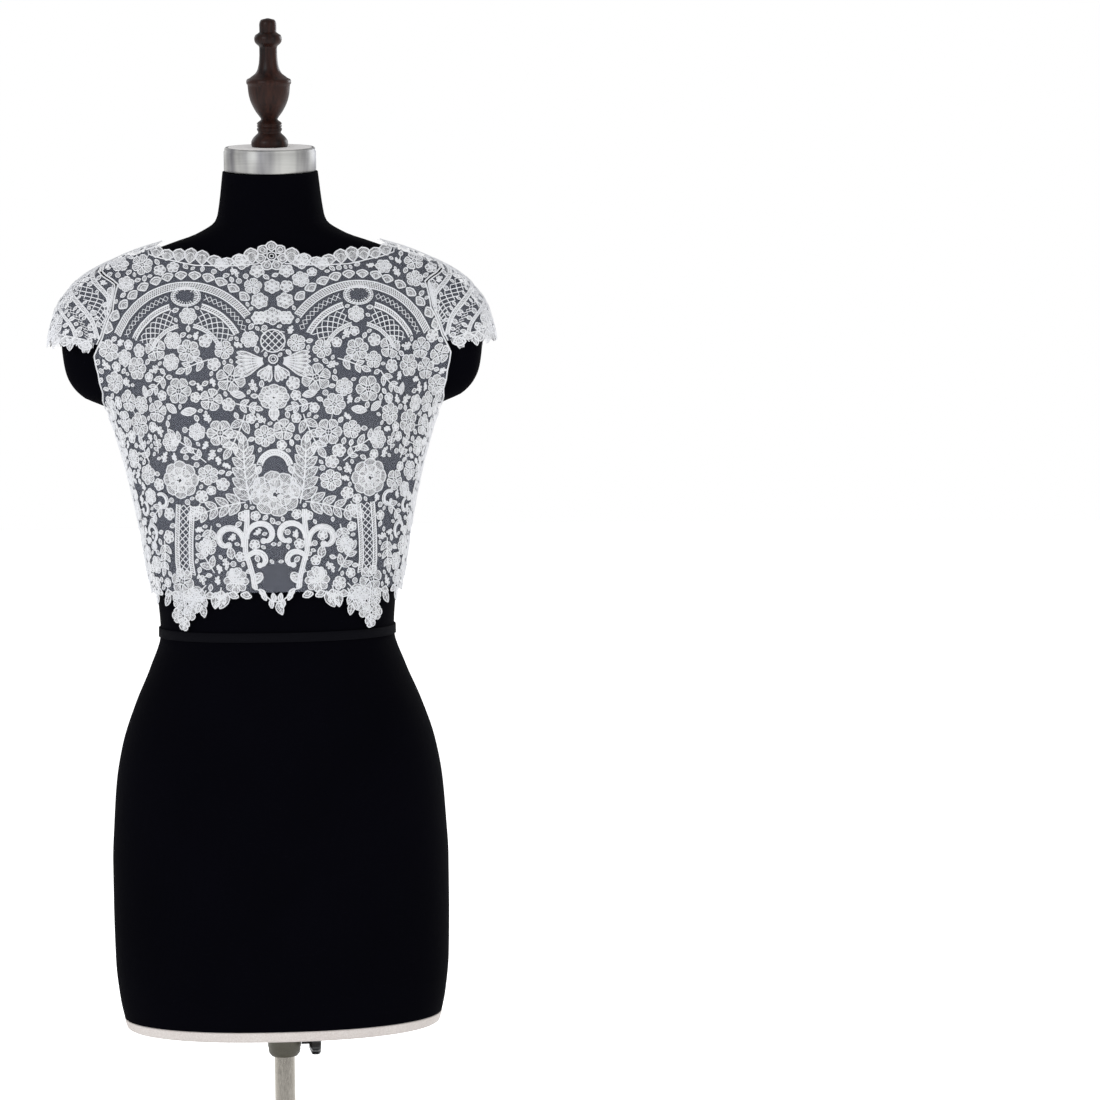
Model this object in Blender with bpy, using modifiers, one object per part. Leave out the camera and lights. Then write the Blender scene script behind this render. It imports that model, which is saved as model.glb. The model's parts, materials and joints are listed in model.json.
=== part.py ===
# A corded-lace bolero jacket on a limbless dress form that turns and slides on its stand.
# Metres, +Z up. The jacket's front faces -Y, and the origin is on the floor under the pole.
# Form and jacket sizes are written in millimetres over the form's lower edge.

import math

import bmesh
import bpy
from mathutils import Matrix, Vector

MM = 0.001

# Stand
FORM_EDGE = 0.440  # floor to the form's lower edge, at a low setting of the pole
BASE_RADIUS = 0.180
BASE_HEIGHT = 0.014
BASE_BOSS_RADIUS = 0.026
BASE_BOSS_HEIGHT = 0.030
POLE_RADIUS = 0.01025
POLE_IN_FORM = 0.330  # how far the pole stands up inside the form at rest
BORE_RADIUS = 0.0112
BORE_DEPTH = 0.440
BORE_SIDES = 16
COLLAR_RADIUS = 0.0165
COLLAR_HEIGHT = 0.034
COLLAR_BORE = 0.0111
KNOB_HEIGHT = 0.019  # below the collar's top
KNOB_RADIUS = 0.0155
KNOB_THICKNESS = 0.012
KNOB_LOBES = 6
KNOB_STEM = 0.008
KNOB_STEM_RADIUS = 0.0045
KNOB_BEVEL = 0.003
RIM_HEIGHT = 0.010
GAP = 0.0003  # between pieces that touch

# Neck plate and finial
NECK_TILT = 0.119  # slope of the neck plate, lower in front
TILT_STARTS = 769.0
NECK_TOP = 829.0
RING_RADIUS = 0.045
RING_HEIGHT = 0.0235
FINIAL_PROFILE = (  # height over the neck ring and radius, in millimetres
    (0.0, 19.0), (5.0, 18.2), (12.0, 14.4), (17.0, 12.4), (22.0, 12.2), (27.0, 9.0),
    (31.0, 9.4), (35.0, 14.0), (45.0, 18.2), (58.0, 20.4), (64.0, 22.0), (68.0, 17.6),
    (75.0, 12.0), (88.0, 8.8), (98.0, 9.0), (104.0, 13.3), (110.0, 11.6), (118.0, 10.4),
    (123.0, 7.0),
)

# The form's level sections
TORSO_COLUMNS = ("height", "half_width", "front", "back")
TORSO = (
    (0, 157, 104, 114), (17, 160.5, 106, 116), (56, 164.5, 108, 119), (115, 165.5, 110, 122),
    (154, 165.5, 110, 122), (193, 163.5, 109, 121), (232, 160.5, 107.5, 118),
    (271, 153.5, 104, 112), (311, 140, 98, 102), (345, 125.5, 92, 92), (380, 114.5, 87, 82),
    (411, 116.5, 88, 82), (446, 123, 91, 86), (493, 130.5, 98, 93), (540, 140.5, 106, 101),
    (587, 152, 111, 107), (625, 156, 110, 110), (660, 155, 102, 109), (695, 149, 88, 101),
    (722, 136, 74, 90), (742, 116, 62, 79), (757, 96, 55, 70), (769, 71, 50, 62),
    (781, 54, 46.5, 56), (793, 51, 44.5, 52), (829, 46.5, 42, 47),
)
STUB_COLUMNS = ("height", "half_width", "depth")
STUB = (
    (540, 90, 8), (575, 116, 11), (590, 132, 14), (600, 149, 20), (605, 167, 27),
    (610.5, 182, 34), (622, 194.5, 43), (634, 200.5, 49), (646, 203, 53), (660, 204.5, 56),
    (672, 205, 57.5), (684, 203.5, 57), (695, 201, 55), (706, 195, 52), (717, 187, 48.5),
    (728, 175, 45), (740, 153, 42), (751, 126, 42), (757, 104, 43), (763, 86, 43),
    (769, 66, 42), (785, 40, 30),
)
TORSO_POWER = 2.25  # how square the torso's sections are
STUB_POWER = 2.9
BLEND_POWER = 12  # how closely torso and arm stub keep to the larger of the two
BUST_RISE = 11.0
BUST_ANGLE = 33.0
BUST_SPREAD = 21.0
BUST_HEIGHT = 578.0
BUST_REACH = 42.0
TAPE_LOW, TAPE_HIGH = 376.0, 385.0
TAPE_LIFT, TAPE_WALL = 0.9, 1.0
FORM_COLUMNS = 40
FORM_ROWS = (
    0, 17, 60, 130, 200, 255, 300, 345, 376, 385, 420, 460, 505, 550, 580, 592, 599, 604, 610,
    620, 636, 660, 686, 706, 722, 734, 742, 749, 756, 763, 771, 782, 795, 829,
)

# Cloth
WALL = 1.2  # the wall that stands for tulle with its lace
WALL_LIFT = 2.9  # form to the wall's inner face
ARMHOLE_EASE = 3.0  # how much further the wall stands off under each arm
EASE_ANGLE, EASE_ANGLE_REACH = 88.0, 20.0
EASE_HEIGHT, EASE_HEIGHT_REACH = 612.0, 22.0
LACE_LIFT = 4.7  # form to the inner face of what is sewn on the wall
LACE_WALL = 1.0
SEAM = 0.3
HEM = 425.0
UNDERARM = 592.0
NECK_POINT = 102.0  # half the distance between the two ends of the shoulder seams at the neck
SHOULDER_POINT = 146.0
OPENING_EDGE = 1.2  # centre back to the edge of each back
# Edges as x and height, from the centre outwards or from the underarm up
FRONT_NECK = ((0, 744), (40, 741), (75, 742), (92, 747))
BACK_NECK = (
    (1.2, 653), (12, 659), (25, 670), (31, 688), (35, 702), (46, 712), (60, 717), (76, 725),
    (87, 742),
)
FRONT_ARMHOLE = ((158, 603), (162, 618), (167, 635), (171, 653))
BACK_ARMHOLE = ((159, 603), (154, 618), (160, 634), (165, 649))
FRONT_SLEEVE_SEAM = ((171, 653), (162, 671), (152, 695), (147, 720))
BACK_SLEEVE_SEAM = ((165, 649), (160, 669), (152, 694), (147, 720))
SLEEVE_TIP_RISE = 7.0
SLEEVE_FLARE = 9.0
SLEEVE_SEAM = 1.2  # the sleeve leans towards the seam as it rises, so its inner edge stays further off
SIDE_ROWS, ARMHOLE_ROWS, SHOULDER_ROWS = 8, 4, 3
FRONT_HALF_COLUMNS = 13
BACK_COLUMNS = 12
SLEEVE_COLUMNS, SLEEVE_ROWS, SLEEVE_SIDE_ROWS = 16, 6, 4

# Closing at the centre back
BUTTON_COUNT = 14
BUTTON_TOP, BUTTON_BOTTOM = 630.0, 428.5
BUTTON_RADIUS = 6.2
BUTTON_RISE = 3.3
PLACKET_HALF = 7.0
PLACKET_TOP, PLACKET_BOTTOM = 648.0, 425.5

# Scalloped edgings
SCALLOP_PITCH = 17.0
SCALLOP_DEPTH = 3.6
EDGING_INSIDE = 5.0
STEPS_IN_SCALLOP = 3
HEM_BAND = 9.0
DROP_COLUMNS = ("angle", "spread", "depth")
FRONT_DROPS = ((0, 5, 14), (30, 6, 15), (43, 5, 10), (56, 8, 27), (78, 9, 25))
BACK_DROPS = ((94, 8, 22), (118, 7, 7), (143, 13, 10), (178, 5, 6))

# Raised roses: name, x and height of the middle, radius
FRONT_ROSES = (
    ("rose_front_right", -82, 538, 20),
    ("rose_front_left", 87, 533, 20),
    ("rose_front_mid", 0, 518, 20),
)
BACK_ROSES = (
    ("rose_back_1", -112, 549, 17),
    ("rose_back_2", 112, 554, 17),
    ("rose_back_3", -65, 485, 19),
    ("rose_back_4", 67, 490, 19),
)
ROSE_POINTS, ROSE_LOBES = 20, 5
ROSE_CROWN = 0.3  # how far a rose's middle stands over its edge
PATH_STEPS = 9


def column(rows, columns, name):
    at = columns.index(name)
    return [(row[0], row[at]) for row in rows]


def monotone(points, x):
    # A cubic through the points that never swings past them
    if x <= points[0][0]:
        return points[0][1]
    if x >= points[-1][0]:
        return points[-1][1]
    k = max(i for i in range(len(points) - 1) if points[i][0] <= x)

    def secant(i):
        return (points[i + 1][1] - points[i][1]) / (points[i + 1][0] - points[i][0])

    def slope(i):
        if i == 0:
            return secant(0)
        if i == len(points) - 1:
            return secant(i - 1)
        before, after = secant(i - 1), secant(i)
        return 0.0 if before * after <= 0 else 2 * before * after / (before + after)

    (x0, y0), (x1, y1) = points[k], points[k + 1]
    span = x1 - x0
    t = (x - x0) / span
    return (
        y0 * (1 + 2 * t) * (1 - t) ** 2
        + slope(k) * span * t * (1 - t) ** 2
        + y1 * t * t * (3 - 2 * t)
        + slope(k + 1) * span * t * t * (t - 1)
    )


HALF_WIDTH = column(TORSO, TORSO_COLUMNS, "half_width")
FRONT_DEPTH = column(TORSO, TORSO_COLUMNS, "front")
BACK_DEPTH = column(TORSO, TORSO_COLUMNS, "back")
STUB_HALF = column(STUB, STUB_COLUMNS, "half_width")
STUB_DEPTH = column(STUB, STUB_COLUMNS, "depth")


def smooth_step(x):
    x = min(max(x, 0.0), 1.0)
    return x * x * (3 - 2 * x)


def radius_at(angle, height):
    # The form's radius in millimetres. The angle runs from the front centre through +X to the back.
    across, ahead = abs(math.sin(math.radians(angle))), math.cos(math.radians(angle))
    half = monotone(HALF_WIDTH, height)
    depth = monotone(FRONT_DEPTH if ahead > 0 else BACK_DEPTH, height)
    torso = ((across / half) ** TORSO_POWER + (abs(ahead) / depth) ** TORSO_POWER) ** (-1 / TORSO_POWER)
    off = ((abs(angle) - BUST_ANGLE) / BUST_SPREAD) ** 2 + ((height - BUST_HEIGHT) / BUST_REACH) ** 2
    torso += BUST_RISE * math.exp(-off)
    if not STUB[0][0] < height < STUB[-1][0]:
        return torso
    half, depth = monotone(STUB_HALF, height), monotone(STUB_DEPTH, height)
    stub = ((across / half) ** STUB_POWER + (abs(ahead) / depth) ** STUB_POWER) ** (-1 / STUB_POWER)
    return (torso ** BLEND_POWER + stub ** BLEND_POWER) ** (1 / BLEND_POWER)


def form_point(angle, height):
    radius = radius_at(angle, height)
    x, y = radius * math.sin(math.radians(angle)), -radius * math.cos(math.radians(angle))
    tilt = NECK_TILT * smooth_step((height - TILT_STARTS) / (NECK_TOP - TILT_STARTS))
    return Vector((x, y, height + tilt * y))


def slopes_at(angle, height):
    turn = (form_point(angle + 0.5, height) - form_point(angle - 0.5, height)) / 1.0
    climb = (form_point(angle, height + 1.0) - form_point(angle, height - 1.0)) / 2.0
    return turn, climb


def lifted(angle, height, lift):
    # A point over the form's skin, in metres over the form's lower edge
    turn, climb = slopes_at(angle, height)
    outward = turn.cross(climb).normalized()
    return (form_point(angle, height) + outward * lift) * MM


def stepped(place, along, up):
    # The place that lies so many millimetres along the section and up the skin
    turn, climb = slopes_at(*place)
    return place[0] + along / turn.length, place[1] + up / climb.length


def angle_for(x, height, behind=False):
    # The angle at which the section is x wide, before or behind the widest point
    low, high = (90.0, 180.0) if behind else (0.0, 90.0)
    for _ in range(40):
        middle = (low + high) / 2
        wide = radius_at(middle, height) * math.sin(math.radians(middle))
        if (wide < abs(x)) != behind:
            low = middle
        else:
            high = middle
    return math.copysign((low + high) / 2, x)


def height_on_ridge(x):
    # The height at which the shoulder line is x wide
    low, high = 700.0, 790.0
    for _ in range(40):
        middle = (low + high) / 2
        if radius_at(90.0, middle) > x:
            low = middle
        else:
            high = middle
    return (low + high) / 2


def resample(places, steps):
    # Even steps along a line of places, measured on the form
    points = [form_point(*place) for place in places]
    reach = [0.0]
    for before, after in zip(points, points[1:]):
        reach.append(reach[-1] + (after - before).length)
    result = []
    for step in range(steps + 1):
        wanted = reach[-1] * step / steps
        k = min(max(i for i in range(len(reach)) if reach[i] <= wanted + 1e-9), len(places) - 2)
        t = (wanted - reach[k]) / (reach[k + 1] - reach[k])
        result.append(tuple(a + (b - a) * t for a, b in zip(places[k], places[k + 1])))
    return result


def patch(bottom, top, inner, outer):
    # Rows of places inside four edges, from the lower edge up
    columns, rows = len(bottom) - 1, len(inner) - 1
    grid = []
    for j in range(rows + 1):
        b = j / rows
        line = []
        for i in range(columns + 1):
            a = i / columns
            line.append(tuple(
                (1 - b) * bottom[i][k] + b * top[i][k] + (1 - a) * inner[j][k] + a * outer[j][k]
                - (1 - a) * (1 - b) * bottom[0][k] - a * (1 - b) * bottom[-1][k]
                - (1 - a) * b * top[0][k] - a * b * top[-1][k]
                for k in (0, 1)
            ))
        grid.append(line)
    return grid


def material(name, colour, roughness, metallic=0.0):
    made = bpy.data.materials.new(name)
    made.use_nodes = True
    shader = made.node_tree.nodes["Principled BSDF"]
    shader.inputs["Base Color"].default_value = (*colour, 1.0)
    shader.inputs["Roughness"].default_value = roughness
    shader.inputs["Metallic"].default_value = metallic
    return made


def new_object(name, mesh, finish, holder):
    made = bpy.data.objects.new(name, mesh)
    mesh.materials.clear()
    mesh.materials.append(finish)
    PARTS.objects.link(made)
    made.parent = holder
    return made


def mesh_of(name, points, faces, outward=True):
    mesh = bpy.data.meshes.new(name)
    mesh.from_pydata([tuple(p) for p in points], [], faces)
    if outward:
        work = bmesh.new()
        work.from_mesh(mesh)
        bmesh.ops.recalc_face_normals(work, faces=work.faces)
        work.to_mesh(mesh)
        work.free()
    return mesh


def thickened(made, thickness):
    wall = made.modifiers.new("wall", "SOLIDIFY")
    wall.thickness = thickness * MM
    wall.offset = 1.0
    wall.use_even_offset = True
    return made


def sheet(name, grid, finish, thickness):
    # An open cloth surface through rows of points, given its wall outwards
    columns = len(grid[0])
    points = [point for row in grid for point in row]
    faces = []
    for j in range(len(grid) - 1):
        for i in range(columns - 1):
            k = j * columns + i
            faces.append((k, k + 1, k + columns + 1, k + columns))
    mesh = mesh_of(name, points, faces, outward=False)
    outward = sum(face.normal.dot(Vector((face.center.x, face.center.y, 0.02))) for face in mesh.polygons)
    if outward < 0:
        mesh.flip_normals()
    return thickened(new_object(name, mesh, finish, FORM), thickness)


def lathe(name, profile, steps, finish, holder, place=Matrix.Identity(4), closed=False):
    # A turned solid. The profile runs down its outer side, from axis to axis or, closed, round a bore.
    work = bpy.data.meshes.new(name)
    points = [(radius, 0.0, height) for radius, height in profile]
    edges = [(i, i + 1) for i in range(len(points) - 1)]
    if closed:
        edges.append((len(points) - 1, 0))
    work.from_pydata(points, edges, [])
    made = new_object(name, work, finish, holder)
    turn = made.modifiers.new("turned", "SCREW")
    turn.steps = turn.render_steps = steps
    turn.use_merge_vertices = True
    turn.merge_threshold = 0.00001
    made.matrix_local = place
    return made


def empty(name, place):
    made = bpy.data.objects.new(name, None)
    made.location = place
    PARTS.objects.link(made)
    return made


# Stand

def build_base(finish):
    profile = (
        (0.0, BASE_BOSS_HEIGHT), (BASE_BOSS_RADIUS - 0.002, BASE_BOSS_HEIGHT),
        (BASE_BOSS_RADIUS, BASE_BOSS_HEIGHT - 0.002), (BASE_BOSS_RADIUS, BASE_HEIGHT),
        (BASE_RADIUS - 0.006, BASE_HEIGHT), (BASE_RADIUS, BASE_HEIGHT - 0.005),
        (BASE_RADIUS, 0.002), (BASE_RADIUS - 0.002, 0.0), (0.0, 0.0),
    )
    lathe("base", profile, 24, finish, None)


def build_pole(finish):
    low, high = BASE_BOSS_HEIGHT + GAP, FORM_EDGE + POLE_IN_FORM
    profile = ((0.0, high), (POLE_RADIUS, high), (POLE_RADIUS, low), (0.0, low))
    lathe("pole", profile, 20, finish, None)


def build_collar(finish):
    top, bottom = -2 * GAP - RIM_HEIGHT, -2 * GAP - RIM_HEIGHT - COLLAR_HEIGHT
    profile = (
        (COLLAR_BORE, top), (COLLAR_RADIUS, top), (COLLAR_RADIUS, bottom + 0.006),
        (COLLAR_RADIUS - 0.003, bottom), (COLLAR_BORE, bottom),
    )
    lathe("collar", profile, 20, finish, SLIDE, closed=True)


def build_knob(finish):
    # A star grip on a short screw, pointing to +X
    work = bmesh.new()
    count = KNOB_LOBES * 4
    rims = []
    edge = KNOB_THICKNESS - KNOB_BEVEL
    for depth, grow in ((0.0, 0.86), (KNOB_BEVEL, 1.0), (edge, 1.0), (KNOB_THICKNESS, 0.86)):
        rim = []
        for i in range(count):
            turn = math.tau * i / count
            radius = KNOB_RADIUS * grow * (0.9 + 0.1 * math.cos(KNOB_LOBES * turn))
            rim.append(work.verts.new((depth, radius * math.cos(turn), radius * math.sin(turn))))
        rims.append(rim)
    stem = []
    for depth in (-KNOB_STEM, 0.0):
        ring = []
        for i in range(count):
            turn = math.tau * i / count
            place = (depth, KNOB_STEM_RADIUS * math.cos(turn), KNOB_STEM_RADIUS * math.sin(turn))
            ring.append(work.verts.new(place))
        stem.append(ring)
    for low, high in zip((stem[0], stem[1], *rims), (stem[1], *rims)):
        for i in range(count):
            work.faces.new((low[i], low[(i + 1) % count], high[(i + 1) % count], high[i]))
    work.faces.new(stem[0])
    work.faces.new(rims[-1])
    bmesh.ops.recalc_face_normals(work, faces=work.faces)
    mesh = bpy.data.meshes.new("knob")
    work.to_mesh(mesh)
    work.free()
    new_object("knob", mesh, finish, KNOB)


# Form

def section_places(height):
    # Places round a section at even steps of length, the first at the front centre
    half = resample([(angle, height) for angle in range(0, 181, 3)], FORM_COLUMNS // 2)
    return half + [(-angle, level) for angle, level in reversed(half[1:-1])]


def mirrored_point(angle, height, lift):
    point = lifted(abs(angle), height, lift)
    return Vector((math.copysign(point.x, angle) if abs(angle) not in (0.0, 180.0) else 0.0, point.y, point.z))


def build_torso(finish):
    rings = [[mirrored_point(*place, 0.0) for place in section_places(height)] for height in FORM_ROWS]
    points, faces = [point for ring in rings for point in ring], []
    for j in range(len(rings) - 1):
        for i in range(FORM_COLUMNS):
            k, n = j * FORM_COLUMNS + i, j * FORM_COLUMNS + (i + 1) % FORM_COLUMNS
            faces.append((k, n, n + FORM_COLUMNS, k + FORM_COLUMNS))
    last = len(points) - FORM_COLUMNS
    faces.append(tuple(range(last, last + FORM_COLUMNS)))
    faces.append(tuple(range(FORM_COLUMNS - 1, -1, -1)))
    torso = new_object("torso", mesh_of("torso", points, faces), finish, FORM)
    work = bmesh.new()
    bmesh.ops.create_cone(
        work, cap_ends=True, segments=BORE_SIDES, radius1=BORE_RADIUS, radius2=BORE_RADIUS, depth=2 * BORE_DEPTH
    )
    cutter_mesh = bpy.data.meshes.new("bore_cutter")
    work.to_mesh(cutter_mesh)
    work.free()
    cutter = bpy.data.objects.new("bore_cutter", cutter_mesh)
    CUTTERS.objects.link(cutter)
    cutter.parent = FORM
    cutter.hide_render = True
    cutter.display_type = "WIRE"
    cut = torso.modifiers.new("bore", "BOOLEAN")
    cut.operation = "DIFFERENCE"
    cut.object = cutter


def build_rim(finish):
    # The pale board that closes the form, with the pole's hole through it
    outline = [mirrored_point(*place, 0.0) for place in section_places(0.0)]
    rings = []
    low, shoulder, high = -GAP - RIM_HEIGHT, -GAP - RIM_HEIGHT / 5, -GAP
    for height, grow in ((low, None), (low, 0.985), (shoulder, 1.0), (high, 0.99), (high, None)):
        ring = []
        for point in outline:
            flat = Vector((point.x, point.y, 0))
            flat = flat.normalized() * BORE_RADIUS if grow is None else flat * grow
            ring.append(flat + Vector((0, 0, height)))
        rings.append(ring)
    points = [point for ring in rings for point in ring]
    faces = []
    for j in range(len(rings)):
        for i in range(FORM_COLUMNS):
            k, n = j * FORM_COLUMNS + i, j * FORM_COLUMNS + (i + 1) % FORM_COLUMNS
            up = ((j + 1) % len(rings) - j) * FORM_COLUMNS
            faces.append((k, n, n + up, k + up))
    new_object("hem_rim", mesh_of("hem_rim", points, faces), finish, FORM)


def build_tape(finish):
    # A ribbon round the waist, as a closed band
    rings = []
    for height, lift in (
        (TAPE_LOW, TAPE_LIFT), (TAPE_HIGH, TAPE_LIFT),
        (TAPE_HIGH, TAPE_LIFT + TAPE_WALL), (TAPE_LOW, TAPE_LIFT + TAPE_WALL),
    ):
        rings.append([mirrored_point(*place, lift) for place in section_places(height)])
    points = [point for ring in rings for point in ring]
    faces = []
    for j in range(4):
        for i in range(FORM_COLUMNS):
            k, n = j * FORM_COLUMNS + i, j * FORM_COLUMNS + (i + 1) % FORM_COLUMNS
            up = ((j + 1) % 4 - j) * FORM_COLUMNS
            faces.append((k, n, n + up, k + up))
    new_object("waist_tape", mesh_of("waist_tape", points, faces), finish, FORM)


def neck_place(height):
    # The neck plate's own axis, square to its slope
    front, back = form_point(0, NECK_TOP), form_point(180, NECK_TOP)
    middle = (front + back) / 2 * MM
    lean = math.atan(NECK_TILT)
    return Matrix.Translation(middle) @ Matrix.Rotation(lean, 4, "X") @ Matrix.Translation((0, 0, height))


def build_neck(ring_finish, finial_finish):
    ring = (
        (0.0, RING_HEIGHT), (RING_RADIUS - 0.0025, RING_HEIGHT), (RING_RADIUS, RING_HEIGHT - 0.002),
        (RING_RADIUS, 0.0), (0.0, 0.0),
    )
    lathe("neck_ring", ring, 28, ring_finish, FORM, neck_place(GAP))
    profile = [(radius * MM, height * MM) for height, radius in reversed(FINIAL_PROFILE)]
    profile = [(0.0, profile[0][1] + 0.001)] + profile + [(0.0, 0.0)]
    lathe("finial", profile, 12, finial_finish, FORM, neck_place(RING_HEIGHT + 2 * GAP))


# Cloth

def seam_side(angle, height, side):
    # A side seam's place, half the seam gap from the side line
    turn, _ = slopes_at(angle, height)
    return angle + side * SEAM / 2 / turn.length


def sleeve_seam(behind):
    # Where the sleeve meets the front or back, from its free edge up to the shoulder
    side = 1 if behind else -1
    seam = BACK_SLEEVE_SEAM if behind else FRONT_SLEEVE_SEAM
    places = [(angle_for(x, height, behind), height) for x, height in seam]
    height = height_on_ridge(SHOULDER_POINT)
    return resample([*places, (seam_side(90, height, side), height)], SLEEVE_ROWS)


def panel_edges(neck, armhole, behind):
    # The outer edge of a front or back half: side seam, armhole and shoulder seam, and its neck edge
    side = 1 if behind else -1
    seam = [(seam_side(90, height, side), height) for height in (HEM, 455, 490, 525, 560, UNDERARM)]
    arm = [(angle_for(x, height, behind), height) for x, height in armhole]
    levels = [height_on_ridge(x) for x in (SHOULDER_POINT, 124, NECK_POINT)]
    shoulder = [(seam_side(90, level, side), level) for level in levels]
    outer = resample(seam, SIDE_ROWS)
    outer += resample([seam[-1], *arm], ARMHOLE_ROWS)[1:]
    outer += sleeve_seam(behind)[1:]
    outer += resample(shoulder, SHOULDER_ROWS)[1:]
    neckline = [(angle_for(x, height, behind) if x else 0.0, height) for x, height in neck]
    return outer, [*neckline, shoulder[-1]]


def front_places():
    outer, neckline = panel_edges(FRONT_NECK, FRONT_ARMHOLE, behind=False)
    rows = len(outer) - 1
    bottom = [(outer[0][0] * i / FRONT_HALF_COLUMNS, HEM) for i in range(FRONT_HALF_COLUMNS + 1)]
    middle = resample([(0.0, HEM + (neckline[0][1] - HEM) * j / 12) for j in range(13)], rows)
    return patch(bottom, resample(neckline, FRONT_HALF_COLUMNS), middle, outer), neckline


def back_places():
    outer, neckline = panel_edges(BACK_NECK, BACK_ARMHOLE, behind=True)
    edge = [(angle_for(OPENING_EDGE, height, True), height) for height in (HEM, 480, 540, 600, BACK_NECK[0][1])]
    rows = len(outer) - 1
    bottom = [
        (edge[0][0] + (outer[0][0] - edge[0][0]) * i / BACK_COLUMNS, HEM) for i in range(BACK_COLUMNS + 1)
    ]
    return patch(bottom, resample(neckline, BACK_COLUMNS), resample(edge, rows), outer), neckline


def wall_lift(angle, height):
    off = ((abs(angle) - EASE_ANGLE) / EASE_ANGLE_REACH) ** 2
    off += ((height - EASE_HEIGHT) / EASE_HEIGHT_REACH) ** 2
    return WALL_LIFT + ARMHOLE_EASE * math.exp(-off)


def build_front(finish):
    places, _ = front_places()
    grid = []
    for row in places:
        half = [mirrored_point(*place, wall_lift(*place)) for place in row]
        left = [Vector((-p.x, p.y, p.z)) for p in reversed(half[1:])]
        grid.append(left + half)
    sheet("front_panel", grid, finish, WALL)


def build_backs(finish):
    places, _ = back_places()
    for name, side in (("back_left", 1), ("back_right", -1)):
        grid = [
            [mirrored_point(side * angle, height, wall_lift(angle, height)) for angle, height in row]
            for row in places
        ]
        sheet(name, grid, finish, WALL)


def beside(path, distance):
    # The line that lies so far to the right of a line of places
    moved = []
    for i, place in enumerate(path):
        before, after = path[max(i - 1, 0)], path[min(i + 1, len(path) - 1)]
        turn, climb = slopes_at(*place)
        along = Vector(((after[0] - before[0]) * turn.length, (after[1] - before[1]) * climb.length)).normalized()
        moved.append(stepped(place, along.y * distance, -along.x * distance))
    return moved


def sleeve_places():
    # Rows from the free edge up to the shoulder, with how far each place stands off the form
    front, back = sleeve_seam(behind=False), sleeve_seam(behind=True)
    seam = beside([*front, *reversed(back[:-1])], SLEEVE_SEAM)
    start, end = seam[0], seam[-1]
    edge = []
    for i in range(13):
        t = i / 12
        level = start[1] + (end[1] - start[1]) * t + SLEEVE_TIP_RISE * math.sin(math.pi * t)
        edge.append((start[0] + (end[0] - start[0]) * t, level))
    turn = SLEEVE_ROWS // 2
    left, right = seam[:turn + 1], list(reversed(seam))[:turn + 1]
    over = resample(seam[turn:len(seam) - turn], SLEEVE_COLUMNS)
    places = patch(
        resample(edge, SLEEVE_COLUMNS), over,
        resample(left, SLEEVE_SIDE_ROWS), resample(right, SLEEVE_SIDE_ROWS),
    )
    rows = []
    for j, line in enumerate(places):
        share = 1 - j / SLEEVE_SIDE_ROWS
        rows.append([
            (place, WALL_LIFT + SLEEVE_FLARE * share * math.sin(math.pi * i / SLEEVE_COLUMNS) ** 0.7)
            for i, place in enumerate(line)
        ])
    return rows


def build_sleeves(finish):
    for name, side in (("sleeve_left", 1), ("sleeve_right", -1)):
        grid = [[mirrored_point(side * place[0], place[1], lift) for place, lift in row] for row in sleeve_places()]
        sheet(name, grid, finish, WALL)


# What is sewn on

def strip(name, path, inside, outside, finish, side=1, lift=LACE_LIFT, middle=False):
    # A flat band along a line of places. Both widths are functions of the share of its length.
    rows = []
    for i in range(len(path)):
        share = i / (len(path) - 1)
        widths = [-inside(share), outside(share)]
        if middle:
            widths.insert(1, (widths[0] + widths[1]) / 2)
        places = [beside(path, -width)[i] for width in widths]
        rows.append([mirrored_point(side * angle, height, lift) for angle, height in places])
    return sheet(name, rows, finish, LACE_WALL)


def scalloped(count, depth):
    return lambda share: 0.8 + depth * abs(math.sin(math.pi * count * share)) ** 0.7


def edging(name, places, finish, side=1, flip=False):
    reach = sum((form_point(*a) - form_point(*b)).length for a, b in zip(places, places[1:]))
    count = max(2, round(reach / SCALLOP_PITCH))
    path = resample(places, count * STEPS_IN_SCALLOP)
    wide, narrow = scalloped(count, SCALLOP_DEPTH), (lambda share: EDGING_INSIDE)
    strip(name, path, wide if flip else narrow, narrow if flip else wide, finish, side)


def drop_depth(angle, drops):
    depth = 2.0 + 1.5 * abs(math.sin(math.radians(angle) * 9))
    for row in drops:
        at, spread, reach = (row[DROP_COLUMNS.index(name)] for name in DROP_COLUMNS)
        depth += reach * math.exp(-(((angle - at) / spread) ** 2))
    return depth


def hem_band(name, low, high, drops, finish, steps, side=1):
    grid = []
    for i in range(steps + 1):
        angle = low + (high - low) * i / steps
        bottom = HEM - drop_depth(abs(angle), drops)
        grid.append([
            mirrored_point(side * angle, level, LACE_LIFT) for level in (HEM + HEM_BAND, HEM - 3, bottom)
        ])
    sheet(name, grid, finish, LACE_WALL)


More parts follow.
